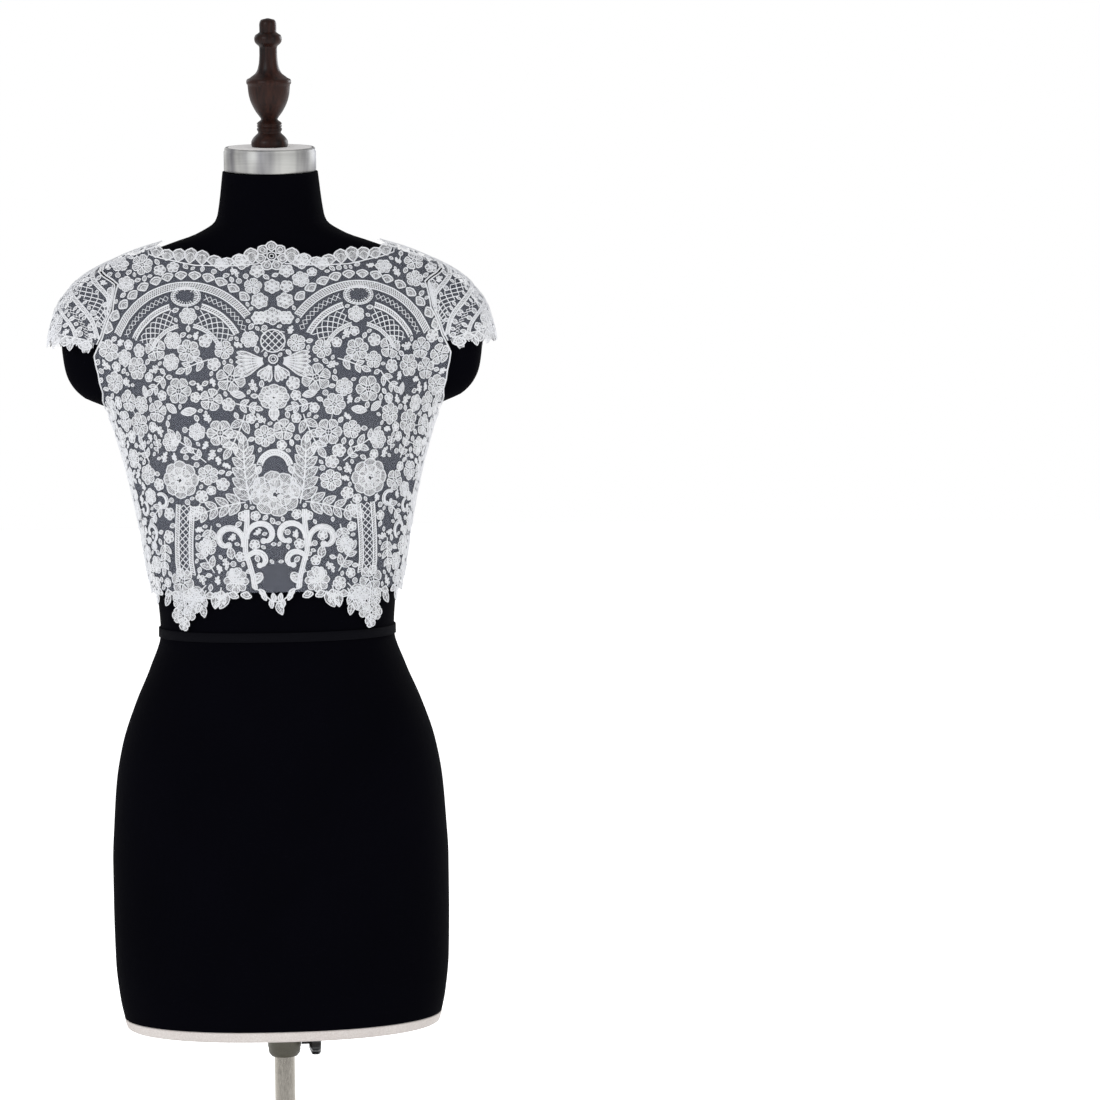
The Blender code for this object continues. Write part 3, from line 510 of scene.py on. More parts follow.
# speckle: a fine grain in tone and height, on Object coordinates
speckle, given, put = newGroup(
    "speckle",
    [("Scale", "NodeSocketFloat", 900.0), ("Stretch", "NodeSocketVector", (1, 1, 1)),
        ("Depth", "NodeSocketFloat", 0.2),
     ("Dark", "NodeSocketColor", (0, 0, 0, 1)), ("Light", "NodeSocketColor", (1, 1, 1, 1)),
     ("Smooth", "NodeSocketFloat", 0.4), ("Rough", "NodeSocketFloat", 0.6)],
    [("Color", "NodeSocketColor"), ("Roughness", "NodeSocketFloat"), ("Normal", "NodeSocketVector")],
)
stretched = stretchedBy(speckle, objectPlace(speckle), given["Stretch"])
fine = noiseAt(speckle, stretched, given["Scale"], 3.0)
broad = noiseAt(speckle, stretched, 14.0, 2.0)
tone = maths(speckle, "ADD", maths(speckle, "MULTIPLY", fine, 0.6), maths(speckle, "MULTIPLY", broad, 0.4))
spread = ramped(speckle, tone, {1: 0.32, 2: 0.68, 3: 0.0, 4: 1.0})
mixed = node(speckle, "ShaderNodeMixRGB", {0: spread, 1: given["Dark"], 2: given["Light"]})
speckle.links.new(mixed.outputs[0], put["Color"])
speckle.links.new(ramped(speckle, spread, {3: given["Smooth"], 4: given["Rough"]}), put["Roughness"])
relief = node(speckle, "ShaderNodeBump", {"Strength": given["Depth"], "Distance": 0.0004, "Height": fine})
speckle.links.new(relief.outputs[0], put["Normal"])


def speckled(name, dark, light, smoothness, rough, scale, stretch=(1, 1, 1), depth=0.2, metallic=0.0,
        **sockets):
    made, tree, shader = finishNamed(name, light, rough, metallic, **sockets)
    group = addGroup(tree, speckle, {
        "Scale": scale, "Stretch": stretch, "Depth": depth, "Dark": (*dark, 1), "Light": (*light, 1),
        "Smooth": smoothness, "Rough": rough,
    })
    for output, socket in (("Color", "Base Color"), ("Roughness", "Roughness"), ("Normal", "Normal")):
        tree.links.new(group.outputs[output], shader.inputs[socket])
    return made


# ridges: soft round ridges across a length in millimetres
ridges, given, put = newGroup(
    "ridges", [("Across", "NodeSocketFloat", 0.0), ("Pitch", "NodeSocketFloat", 1.0)],
    [("Ridge", "NodeSocketFloat")],
)
phase = maths(ridges, "MULTIPLY", maths(ridges, "DIVIDE", given["Across"], given["Pitch"]), math.tau)
wave = maths(ridges, "MULTIPLY_ADD", maths(ridges, "COSINE", phase), 0.5, 0.5)
ridges.links.new(wave, put["Ridge"])


def ridge(tree, across, pitch):
    return addGroup(tree, ridges, {"Across": across, "Pitch": pitch}).outputs["Ridge"]


def placeOnCloth(tree, name):
    # a point's place on its cloth or thread, in millimetres
    stored = node(tree, "ShaderNodeAttribute", attribute_name=name).outputs["Vector"]
    return node(tree, "ShaderNodeSeparateXYZ", {0: stored}).outputs


def cordFinish():
    # a twisted cord, with painted shade in the grooves between its strands
    made, tree, shader = finishNamed(
        "white_cord", (0.87, 0.875, 0.9), 0.62, **{"Sheen Weight": 0.15, "Specular IOR Level": 0.25})
    along, across, _ = placeOnCloth(tree, "thread")
    strand = ridge(tree, maths(tree, "ADD", along, maths(tree, "MULTIPLY", across, 0.9)), 0.9)
    cloud = noiseAt(tree, objectPlace(tree), 40.0, 3.0)
    mixed = mixOf(tree, cloud, (0.80, 0.81, 0.85), (0.92, 0.92, 0.925))
    # painted shade: the colour is darker in the grooves between the strands
    shaded = timesTone(tree, 1.0, mixed, ramped(tree, strand, {3: 0.80, 4: 1.0}))
    painted(tree, shader, shaded, strand, 0.5)
    return made


def stitchFinish():
    # embroidery: threads side by side, closer where the third value is high
    made, tree, shader = finishNamed(
        "white_stitching", (0.86, 0.865, 0.89), 0.6, **{"Sheen Weight": 0.15, "Specular IOR Level": 0.25})
    across, _, cover = placeOnCloth(tree, "thread")
    strand = ridge(tree, across, 1.45)
    cloud = noiseAt(tree, objectPlace(tree), 330.0, 2.0)
    uneven = maths(tree, "MULTIPLY_ADD", maths(tree, "SUBTRACT", cloud, 0.5), 0.8, strand)
    low = maths(tree, "SUBTRACT", 1.06, maths(tree, "MULTIPLY", cover, 1.06))
    high = maths(tree, "ADD", low, 0.45)
    alpha = ramped(tree, uneven, {1: low, 2: high, 3: 0.06, 4: 0.86}, interpolation_type="SMOOTHSTEP")
    tree.links.new(alpha, shader.inputs["Alpha"])
    painted(tree, shader, mixOf(tree, strand, (0.70, 0.71, 0.75), (0.90, 0.90, 0.91)), uneven, 0.6)
    return made


def netFinish(name, cell, thread, low, high):
    # tulle: a net of six-sided holes, its threads on the cloth's own flat measure
    made, tree, shader = finishNamed(name, (0.80, 0.81, 0.86), 0.7, **{"Specular IOR Level": 0.2})
    across, up, _ = placeOnCloth(tree, "flat")
    k = math.tau / cell
    first = maths(tree, "COSINE", maths(tree, "MULTIPLY", across, k))
    slant = maths(tree, "MULTIPLY", up, k * math.sqrt(3) / 2)
    half = maths(tree, "MULTIPLY", across, -k / 2)
    second = maths(tree, "COSINE", maths(tree, "ADD", half, slant))
    third = maths(tree, "COSINE", maths(tree, "SUBTRACT", half, slant))
    total = maths(tree, "ADD", maths(tree, "ADD", first, second), third)
    web = ramped(tree, total, {1: thread, 2: thread - 0.5, 3: low, 4: high},
        interpolation_type="SMOOTHSTEP")
    tree.links.new(web, shader.inputs["Alpha"])
    mixed = mixOf(tree, noiseAt(tree, objectPlace(tree), 16.0, 2.0), (0.60, 0.64, 0.80), (0.78, 0.81, 0.92))
    painted(tree, shader, mixed, web, 0.3, 0.0002)
    return made


def satinFinish():
    made, tree, shader = finishNamed("white_satin", (0.70, 0.695, 0.68), 0.5, **{"Sheen Weight": 0.1})
    x, _, z = node(tree, "ShaderNodeSeparateXYZ", {0: objectPlace(tree)}).outputs
    warp = ridge(tree, maths(tree, "MULTIPLY", maths(tree, "ADD", x, z), 1000.0), 0.5)
    weft = ridge(tree, maths(tree, "MULTIPLY", maths(tree, "SUBTRACT", z, x), 1000.0), 0.33)
    weave = maths(tree, "MULTIPLY_ADD", weft, 0.35, warp)
    painted(tree, shader, mixOf(tree, weave, (0.64, 0.635, 0.62), (0.74, 0.735, 0.72)), weave, 0.25, 0.0002)
    return made


def jerseyFinish():
    # a fine black knit
    made, tree, shader = finishNamed("black_jersey", (0.002, 0.002, 0.004), 0.95,
        **{"Specular IOR Level": 0.02})
    around, up, _ = placeOnCloth(tree, "flat")
    rib = ridge(tree, around, 1.3)
    row = ridge(tree, maths(tree, "ADD", up, maths(tree, "MULTIPLY", rib, 0.25)), 0.95)
    knit = maths(tree, "MULTIPLY", rib, row)
    tone = maths(tree, "MULTIPLY", knit, noiseAt(tree, objectPlace(tree), 9.0, 3.0))
    painted(tree, shader, mixOf(tree, tone, (0.0008, 0.0008, 0.0016), (0.0045, 0.0042, 0.0085)), knit, 0.35)
    return made


def tapeFinish():
    made, tree, shader = finishNamed("black_tape", (0.003, 0.003, 0.004), 0.85,
        **{"Specular IOR Level": 0.03})
    around, _, _ = placeOnCloth(tree, "flat")
    rib = ridge(tree, around, 1.1)
    painted(tree, shader, mixOf(tree, rib, (0.0015, 0.0015, 0.0024), (0.006, 0.006, 0.0084)), rib, 0.6)
    return made


def woodFinish():
    # dark wood with its grain upright
    made, tree, shader = finishNamed("dark_wood", (0.02, 0.007, 0.005), 0.4, **{"Specular IOR Level": 0.16})
    long = stretchedBy(tree, objectPlace(tree), (1.0, 1.0, 0.12))
    grain = noiseAt(tree, long, 420.0, 5.0)
    figure = noiseAt(tree, long, 70.0, 3.0, Distortion=0.6)
    tone = maths(tree, "MULTIPLY_ADD", figure, 0.6, maths(tree, "MULTIPLY", grain, 0.4))
    mixed = mixOf(tree, ramped(tree, tone, {1: 0.35, 2: 0.65}), (0.0040, 0.0014, 0.0012),
        (0.034, 0.0105, 0.0062))
    painted(tree, shader, mixed, grain, 0.15)
    return made


def ringFinish():
    # spun aluminium: fine turned lines, and soft upright bands round the ring that are painted reflections of
    # the studio
    made, tree, shader = finishNamed("brushed_ring", (0.5, 0.5, 0.5), 0.42, 1.0)
    where = objectPlace(tree)
    # painted reflections: lighter and darker upright bands in the metal's colour
    reflectionBands = noiseAt(tree, stretchedBy(tree, where, (1, 1, 0.02)), 34.0, 3.0)
    softReflections = ramped(tree, reflectionBands, {1: 0.36, 2: 0.66}, interpolation_type="SMOOTHSTEP")
    lines = noiseAt(tree, stretchedBy(tree, where, (20, 20, 2600)), 1.0, 2.0)
    mixed = mixOf(tree, softReflections, (0.20, 0.195, 0.215), (0.60, 0.595, 0.57))
    painted(tree, shader, timesTone(tree, 0.35, mixed, lines), lines, 0.08, 0.0002)
    tree.links.new(ramped(tree, lines, {3: 0.48, 4: 0.62}), shader.inputs["Roughness"])
    return made


finishes = {
    "cord": cordFinish(),
    "stitching": stitchFinish(),
    "tulle": netFinish("white_tulle", 1.5, -0.55, 0.045, 0.105),
    "netting": netFinish("white_netting", 1.1, -0.1, 0.04, 0.20),
    "satin": satinFinish(),
    "jersey": jerseyFinish(),
    "tape": tapeFinish(),
    "board": speckled("cream_board", (0.52, 0.465, 0.435), (0.70, 0.655, 0.625), 0.65, 0.85, 700.0,
        depth=0.35),
    "ring": ringFinish(),
    "plate": speckled("white_plate", (0.66, 0.63, 0.62), (0.80, 0.78, 0.77), 0.4, 0.6, 500.0, depth=0.1),
    "wood": woodFinish(),
    "nickel": speckled("nickel_tube", (0.22, 0.205, 0.18), (0.52, 0.49, 0.44), 0.16, 0.34, 600.0,
        (6, 6, 0.3), 0.06, 1.0),
    "olive": speckled("olive_plastic", (0.055, 0.050, 0.035), (0.095, 0.088, 0.062), 0.38, 0.55, 800.0,
        depth=0.15),
    "black": speckled("black_plastic", (0.006, 0.006, 0.006), (0.016, 0.016, 0.016), 0.12, 0.28, 900.0,
        depth=0.06),
    "iron": speckled("black_iron", (0.010, 0.010, 0.011), (0.034, 0.034, 0.036), 0.40, 0.62, 1400.0,
        depth=0.5),
}
print("finishes ready")


# The stand

stand = {
    "baseRadius": 0.180, "baseHeight": 0.014, "bossRadius": 0.026, "bossHeight": 0.030,
    "poleRadius": 0.01025, "poleTop": 0.770, "gap": 0.0003,
    "collarRadius": 0.0165, "collarBore": 0.0111, "collarTop": 0.4294, "collarHeight": 0.034,
    "knobFace": 0.0248, "knobRadius": 0.0155, "knobDepth": 0.012, "knobLobes": 6, "knobAxis": 0.4104,
    "screwRadius": 0.0045, "screwLength": 0.008,
}

radius, height = stand["baseRadius"], stand["baseHeight"]
foot = turned("footPlate", [
    (radius - 0.004, 0.0), (radius - 0.001, 0.0012), (radius, 0.003), (radius, height - 0.006),
    (radius - 0.002, height - 0.002), (radius - 0.007, height), (0.062, height), (0.058, height + 0.0016),
    (0.040, height + 0.0022), (stand["bossRadius"] + 0.003, height + 0.0032),
    (stand["bossRadius"], height + 0.006),
    (stand["bossRadius"] - 0.0006, stand["bossHeight"] - 0.003),
    (stand["bossRadius"] - 0.003, stand["bossHeight"]),
    (0.0125, stand["bossHeight"]), (0.0122, stand["bossHeight"] - 0.0012),
], 96, finishes["iron"])
dress(foot, "stand", "base_iron", "base")

low, high, radius = stand["bossHeight"] + stand["gap"], stand["poleTop"], stand["poleRadius"]
tube = turned("poleTube", [
    (radius - 0.0012, low), (radius, low + 0.001), (radius, high - 0.0015),
    (radius - 0.0006, high - 0.0005),
    (radius - 0.0018, high), (radius - 0.0032, high - 0.002),
], 40, finishes["nickel"])
dress(tube, "stand", "pole_nickel", "pole")

top, radius, bore = stand["collarTop"], stand["collarRadius"], stand["collarBore"]
bottom = top - stand["collarHeight"]
rings = []
for ringRadius, ringHeight in (
    (bore, top), (bore, bottom), (radius - 0.0035, bottom), (radius - 0.0012, bottom + 0.003),
    (radius - 0.0006, bottom + 0.006),
    (radius - 0.0006, bottom + 0.0085), (radius, bottom + 0.0095), (radius, top - 0.0085),
    (radius - 0.0006, top - 0.0075),
    (radius - 0.0006, top - 0.0015), (radius - 0.0014, top - 0.0004), (radius - 0.003, top), (bore, top),
):
    around = np.radians(np.linspace(0, 360, 49))
    rings.append(np.stack([ringRadius * np.cos(around), ringRadius * np.sin(around),
        np.full(49, ringHeight)], axis=-1))
collar = smooth(grid("collarTube", np.array(rings), finishes["olive"], wraps=True))
dress(collar, "collar", "collar_plastic", "collar")

knob = turned("knobStar", [
    (stand["screwRadius"], -stand["screwLength"]), (stand["screwRadius"], -0.0004), (0.0088, -0.0004),
    (0.0092, 0.0),
    (0.0126, 0.0012), (0.0151, 0.0026), (stand["knobRadius"], 0.0042), (stand["knobRadius"], 0.0082),
    (0.0150, 0.0098), (0.0132, 0.0112),
    (0.0100, 0.0116), (0.0094, 0.0112), (0.0070, 0.0110), (0.0060, 0.0116), (0.0034, stand["knobDepth"]),
], 72, finishes["black"])
for corner in knob.data.vertices:
    reach = math.hypot(corner.co.x, corner.co.y)
    if reach > 0.0099:
        around = math.atan2(corner.co.y, corner.co.x)
        shrink = 0.90 + 0.10 * math.cos(stand["knobLobes"] * around)
        corner.co.x *= shrink
        corner.co.y *= shrink
quarter = Matrix.Rotation(math.radians(90), 4, "Y")
knob.data.transform(Matrix.Translation((stand["knobFace"], 0, stand["knobAxis"])) @ quarter)
dress(knob, "clamp", "knob_plastic", "knob")
print("stand built")


# The dress form

def sectionRing(height, lift=0.0):
    places = resample([(angle, height) for angle in range(0, 181, 3)], form["columns"] // 2)
    half, _ = lifted(places[:, 0], places[:, 1], lift)
    return np.concatenate([half, half[1:-1][::-1] * np.array([-1, 1, 1]), half[:1]])


def boreRing(height, ring, radius=None):
    around = np.arctan2(ring[:, 1], ring[:, 0])
    reach = (form["bore"] if radius is None else radius) * mm
    return np.stack([
        reach * np.cos(around), reach * np.sin(around), np.full(len(ring), (form["edge"] + height) * mm),
    ], axis=-1)


edgeRing = sectionRing(0.0)
heights = np.concatenate([np.linspace(0, 590, 92), np.linspace(595, 790, 66), np.linspace(795, 829, 9)])
rings = [
    boreRing(form["boreDepth"], edgeRing, 0.001), boreRing(form["boreDepth"], edgeRing),
    boreRing(0, edgeRing),
    edgeRing * [0.6, 0.6, 1],
]
rings += [sectionRing(height) for height in heights]
topRing = rings[-1]
middle = topRing[:-1].mean(axis=0)
rings += [middle + (topRing - middle) * share for share in (0.8, 0.4, 0.0001)]
skin = grid("formSkin", np.array(rings), finishes["jersey"], wraps=True)


def storeFlat(piece, measure):
    # the cloth's own flat measure at each corner, for its weave
    corners = np.empty(len(piece.data.vertices) * 3)
    piece.data.vertices.foreach_get("co", corners)
    stored = piece.data.attributes.new("flat", "FLOAT_VECTOR", "POINT")
    stored.data.foreach_set("vector", measure(corners.reshape(-1, 3)).astype(np.float32).ravel())


def roundTheForm(corners):
    around = np.abs(np.arctan2(corners[:, 0], -corners[:, 1]))
    reach = around * 150.0 * np.sign(corners[:, 0])
    return np.stack([reach, corners[:, 2] * 1000, np.zeros(len(corners))], axis=-1)


storeFlat(skin, roundTheForm)
smooth(skin, 50)
dress(skin, "form", "black_jersey", "torso")

rings = [boreRing(-0.3, edgeRing), boreRing(-10.3, edgeRing)]
for level, grow in ((-10.3, 0.6), (-10.3, 0.975), (-9.5, 0.984), (-8.0, 0.988), (-3.0, 0.998),
    (-1.2, 0.999), (-0.3, 0.992), (-0.3, 0.6)):
    ring = edgeRing * [grow, grow, 1]
    ring[:, 2] += level * mm
    rings.append(ring)
rings.append(rings[0])
board = smooth(grid("rimBoard", np.array(rings), finishes["board"], wraps=True))
dress(board, "form", "cream_board", "hem_rim")

rings = []
for level, lift in ((376.2, 0.9), (375.9, 1.3), (376.2, 1.8), (380.5, 1.95), (384.8, 1.8), (385.1, 1.3),
    (384.8, 0.9), (380.5, 0.8), (376.2, 0.9)):
    rings.append(sectionRing(level, lift=lift))
ribbon = grid("waistRibbon", np.array(rings), finishes["tape"], wraps=True)
storeFlat(ribbon, roundTheForm)
smooth(ribbon, 60)
dress(ribbon, "form", "black_tape", "waist_tape")

neckMiddle = (formPoint(0.0, form["neckTop"]) + formPoint(180.0, form["neckTop"])) / 2 + [0, 0,
    form["edge"]]
neckPlace = Matrix.Translation(Vector(neckMiddle * mm)) @ Matrix.Rotation(math.atan(form["neckTilt"]), 4,
    "X")
neck = {"radius": 0.045, "height": 0.0235, "gap": 0.0003, "plateRadius": 0.0412}
radius, height = neck["radius"], neck["height"]
rim = turned("neckRing", [
    (radius - 0.003, 0.0), (radius - 0.0006, 0.0006), (radius, 0.0018), (radius, height - 0.0042),
    (radius - 0.0009, height - 0.0030), (radius - 0.0009, height - 0.0012),
    (radius - 0.0019, height - 0.0002),
    (radius - 0.0034, height - 0.0001), (neck["plateRadius"] + 0.0002, height - 0.0014),
], 96, finishes["ring"], neckPlace @ Matrix.Translation((0, 0, neck["gap"])))
dress(rim, "form", "brushed_ring", "neck_ring")
plate = turned("neckPlate", [
    (neck["plateRadius"], height - 0.0012), (neck["plateRadius"], height - 0.0004),
    (neck["plateRadius"] - 0.0006, height),
    (0.0195, height), (0.0190, height + 0.0002),
], 72, finishes["plate"], neckPlace @ Matrix.Translation((0, 0, neck["gap"])))
dress(plate, "form", "cream_board")

finialProfile = (  # height over the neck ring, radius
    (0.0, 17.2), (2.0, 18.0), (5.0, 17.8), (9.0, 15.6), (12.0, 12.6), (14.0, 10.9), (15.5, 11.8),
    (17.0, 12.4),
    (18.6, 11.4), (20.0, 12.2), (21.4, 11.6), (23.0, 12.3), (24.4, 10.4), (26.5, 8.0), (29.0, 9.4),
    (33.0, 12.4),
    (39.0, 15.8), (45.0, 18.3), (52.0, 19.9), (58.0, 20.5), (60.0, 20.7), (61.0, 21.7), (63.5, 21.8),
    (65.5, 20.9),
    (67.0, 17.6), (68.2, 16.4), (71.0, 12.8), (76.0, 10.3), (83.0, 9.0), (90.0, 8.6), (96.5, 8.6),
    (98.5, 10.6),
    (101.0, 12.8), (104.5, 13.4), (108.0, 12.2), (109.8, 9.2), (111.0, 8.2), (118.0, 8.3), (121.5, 7.4),
    (123.5, 4.6),
    (124.0, 1.0),
)
steps = np.linspace(0, 124, 94)
profile = [(float(value) * mm, float(at) * mm) for at,
    value in zip(steps, curveThrough(finialProfile, 1, steps))]
finial = turned("finialWood", profile, 48, finishes["wood"],
    neckPlace @ Matrix.Translation((0, 0, height + 2 * neck["gap"])))
dress(finial, "form", "dark_wood", "finial")
print("form built")


# The tulle: one front, two backs and two cap sleeves

def flatOf(places, behind):
    row = np.clip((places[..., 1] - levels[0]) / levelStep, 0, len(levels) - 1.001)
    i, s = row.astype(int), row - row.astype(int)
    angle = np.clip(places[..., 0], 0, 179.999)
    j, t = angle.astype(int), angle - angle.astype(int)
    length = between(lengthRound, i, j, s, t)
    total = lengthRound[i, -1] * (1 - s) + lengthRound[i + 1, -1] * s
    return total - length if behind else length


def tulleSheet(name, points, flat, finish, wall):
    # the columns run to the right as seen from outside
    piece = grid(name, points, finish)
    tree = KDTree(points.shape[0] * points.shape[1])
    for k, point in enumerate(points.reshape(-1, 3)):
        tree.insert(point, k)
    tree.balance()
    places = flat.reshape(-1, 2)

    def ofNearest(corners):
        nearest = [tree.find(corner)[1] for corner in corners]
        return np.concatenate([places[nearest], np.zeros((len(nearest), 1))], axis=1)

    storeFlat(piece, ofNearest)
    return smooth(applied(piece, "SOLIDIFY", thickness=wall * mm, offset=1.0), 60)


frontRows, frontOuter, frontLine = frontPlaces()
backRows, backOuter, backLine = backPlaces()
sleeveRows, sleeveLift = (values[cut["sleeveTrim"]:] for values in sleevePlaces())
flatFront = np.stack([flatOf(frontRows, False), frontRows[..., 1]], axis=-1)
flatBack = np.stack([flatOf(backRows, True), backRows[..., 1]], axis=-1)

lift = wallLift(frontRows[..., 0], frontRows[..., 1]) + cloth["tulleLift"]
half, _ = lifted(frontRows[..., 0], frontRows[..., 1], lift)
points = np.concatenate([half[:, :0:-1] * [-1, 1, 1], half], axis=1)
flat = np.concatenate([flatFront[:, :0:-1] * [-1, 1], flatFront], axis=1)
frontTulle = tulleSheet("frontTulle", points, flat, finishes["tulle"], cloth["tulleWall"])
dress(frontTulle, "form", "white_lace", "front_panel")

lift = wallLift(backRows[..., 0], backRows[..., 1]) + cloth["tulleLift"]
half, _ = lifted(backRows[..., 0], backRows[..., 1], lift)
backLeftTulle = tulleSheet("backLeftTulle", half[:, ::-1], flatBack[:, ::-1], finishes["tulle"],
    cloth["tulleWall"])
backRightTulle = tulleSheet("backRightTulle", half * [-1, 1, 1], flatBack, finishes["tulle"],
    cloth["tulleWall"])
dress(backLeftTulle, "form", "white_lace", "back_left")
dress(backRightTulle, "form", "white_lace", "back_right")

half, _ = lifted(sleeveRows[..., 0], sleeveRows[..., 1], sleeveLift + cloth["tulleLift"])
alongSleeve = np.concatenate([[0], np.cumsum(np.linalg.norm(np.diff(half[0], axis=0), axis=-1))]) / mm
upSleeve = np.concatenate([[0],
    np.cumsum(np.linalg.norm(np.diff(half[:, cut["sleeveColumns"] // 2], axis=0), axis=-1))]) / mm
flat = np.stack(np.meshgrid(alongSleeve, upSleeve), axis=-1)
leftSleeveTulle = tulleSheet("leftSleeveTulle", half, flat, finishes["tulle"], cloth["tulleWall"])
rightSleeveTulle = tulleSheet("rightSleeveTulle", half[:, ::-1] * [-1, 1, 1], flat[:, ::-1],
    finishes["tulle"], cloth["tulleWall"])
dress(leftSleeveTulle, "form", "white_lace", "sleeve_left")
dress(rightSleeveTulle, "form", "white_lace", "sleeve_right")
print("tulle laid:", [round(float(value)) for value in (alongSleeve[-1], upSleeve[-1])], "mm sleeve")


# The lace. Motifs are drawn flat in millimetres as complex numbers, each kind once, then copied on the cloth.
# A cord is (points, width, lift). A filling is (left edge, right edge, cover, lift).

def ring(middle, radius, steps=10, start=0.0):
    return middle + radius * np.exp(1j * (start + np.linspace(0, math.tau, steps + 1)))


def cordOf(points, width=1.2, lift=0.0):
    return "cord", np.asarray(points, complex), width, lift


def petal(base, tip, width, fullness=1.5, cover=0.5, cord=1.15, lift=0.0, steps=4):
    # a petal or leaf: stitched filling inside a cord
    way = (tip - base) / abs(tip - base)

    def sides(count):
        t = np.linspace(0, 1, count + 1)
        half = width / 2 * np.sin(np.pi * t ** fullness) ** 0.75 + 0.12
        axis = base + (tip - base) * t
        return axis + 1j * way * half, axis - 1j * way * half

    left, right = sides(steps)
    outerLeft, outerRight = sides(steps + 3)
    items = [("fill", left, right, cover, lift)]
    if cord:
        items.append(cordOf(np.concatenate([outerLeft, outerRight[::-1]]), cord, lift))
    return items


def flower(radius, count=6, cover=0.5):
    items = []
    for i in range(count):
        way = np.exp(1j * math.tau * i / count)
        wide = 1.38 * radius * math.sin(math.pi / count)
        items += petal(0.24 * radius * way, radius * way, wide, 1.75, cover, 1.15, 0.0, 4)
        if radius > 8:
            for lean in (-0.14, 0.14):
                items.append(cordOf(np.array([0.34, 0.84]) * radius * way * np.exp(1j * lean), 0.55, 0.1))
    middle = 0.24 * radius
    items.append(cordOf(ring(0, middle, 10), 1.1, 0.35))
    items.append(cordOf([-middle, middle], 0.7, 0.3))
    items.append(cordOf([-1j * middle, 1j * middle], 0.7, 0.3))
    return items


def rose(radius):
    items = []
    for count, inner, outer, lift, turn in ((8, 0.42, 1.0, 0.0, 0.0), (6, 0.16, 0.68, 0.45, 0.3)):
        for i in range(count):
            way = np.exp(1j * (turn + math.tau * i / count))
            wide = 1.62 * radius * outer * math.sin(math.pi / count)
            items += petal(inner * radius * way, outer * radius * way, wide, 1.7, 0.5, 1.2, lift, 4)
            for lean in (-0.09, 0.09):
                vein = np.array([inner + 0.08, outer - 0.12]) * radius * way * np.exp(1j * lean)
                items.append(cordOf(vein, 0.5, lift + 0.1))
    t = np.linspace(0, 1, 22)
    items.append(cordOf(radius * (0.06 + 0.26 * t) * np.exp(1j * t * math.tau * 1.75), 1.3, 0.95))
    for i in range(5):
        way = np.exp(1j * (0.5 + math.tau * i / 5))
        items += petal(0.1 * radius * way, 0.34 * radius * way, 0.24 * radius, 1.4, 0.9, 0.9, 0.8, 3)
    return items


def leaf(length, width, cover=0.36):
    items = petal(0.0, complex(length), width, 0.85, cover, 1.1, 0.0, 5)
    items.append(cordOf([0, length * 0.45, length * 0.9], 0.9, 0.15))
    for share in (0.28, 0.55):
        reach = width * 0.40 * math.sin(math.pi * share ** 0.85)
        for side in (1, -1):
            items.append(cordOf([length * share, length * (share + 0.18) + 1j * side * reach], 0.45, 0.1))
    return items


def pod(length, width):
    # a padded leaf in close satin stitch
    items = petal(0.0, complex(length), width, 0.95, 1.0, 1.0, 0.1, 5)
    items.append(cordOf([length * 0.12, length * 0.88], 0.9, 0.45))
    return items


def moved(items, place=0.0, turn=0.0, size=1.0):
    # a copy of a motif, turned, sized and shifted
    spin = np.exp(1j * math.radians(turn)) * size
    return [tuple(value * spin + place if isinstance(value,
        np.ndarray) else value for value in item) for item in items]


def stem(length, bend, steps=8):
    # a bent line from the origin along +x, and its directions in degrees
    t = np.linspace(0, 1, steps + 1)
    heading = np.radians(bend) * (t - 0.0)
    step = length / steps * np.exp(1j * heading)
    points = np.concatenate([[0], np.cumsum(step[1:])])
    return points, np.degrees(heading)


def spray(length, pairs, leafLength, bend=0.0, spreadAngle=42.0):
    points, heading = stem(length, bend)
    items = [cordOf(points, 1.3, 0.2)]
    for k in range(pairs):
        share = (k + 0.5) / pairs
        at = np.interp(share, np.linspace(0, 1, len(points)), points.real) + 1j * np.interp(
            share, np.linspace(0, 1, len(points)), points.imag)
        way = float(np.interp(share, np.linspace(0, 1, len(points)), heading))
        size = leafLength * (1.0 - 0.30 * share)
        for side in (1, -1):
            items += moved(leaf(size, size * 0.5), at, way + side * spreadAngle)
    items += moved(leaf(leafLength * 0.85, leafLength * 0.45), points[-1], float(heading[-1]))
    return items


def offsetPath(path, distance):
    # the line so far to the left of a path
    way = np.gradient(path)
    return path + 1j * way / np.abs(way) * distance


def even(path, step):
    reach = np.concatenate([[0], np.cumsum(np.abs(np.diff(path)))])
    wanted = np.linspace(0, reach[-1], max(2, int(round(reach[-1] / step))) + 1)
    return np.interp(wanted, reach, path.real) + 1j * np.interp(wanted, reach, path.imag), wanted


def band(path, width, cover=0.55, cord=1.3, lift=0.2, rung=2.4):
    # two cords with stitching between them, and slanting rungs across it
    path, _ = even(path, rung)
    half = np.full(len(path), width / 2)
    left, right = offsetPath(path, half), offsetPath(path, -half)
    items = [("fill", left[::2], right[::2], cover, lift), cordOf(left, cord, lift),
        cordOf(right, cord, lift)]
    items += [cordOf([a, b], 0.8, lift + 0.15) for a, b in zip(left[:-1], right[1:])]
    return items


def waves(path, width, pitch, phases, cord=0.75):
    # fine cords that swing from side to side of a path
    path, reach = even(path, pitch / 4)
    items = []
    for phase in phases:
        swing = width / 2 * np.sin(reach / pitch * math.tau + phase * math.tau)
        items.append(cordOf(offsetPath(path, swing), cord, 0.0))
    return items


def lattice(path, width, mesh=8.0, cord=1.0):
    # straight fine cords that cross in diamonds between the two sides of a path
    pitch = 2.0 * width
    count = max(3, round(pitch / mesh))
    path, reach = even(path, pitch / 12)
    items = []
    for k in range(count):
        t = (reach / pitch + k / count) % 1.0
        swing = width / 2 * (1 - 4 * np.abs(t - 0.5))
        items.append(cordOf(offsetPath(path, swing), cord, 0.05))
    return items


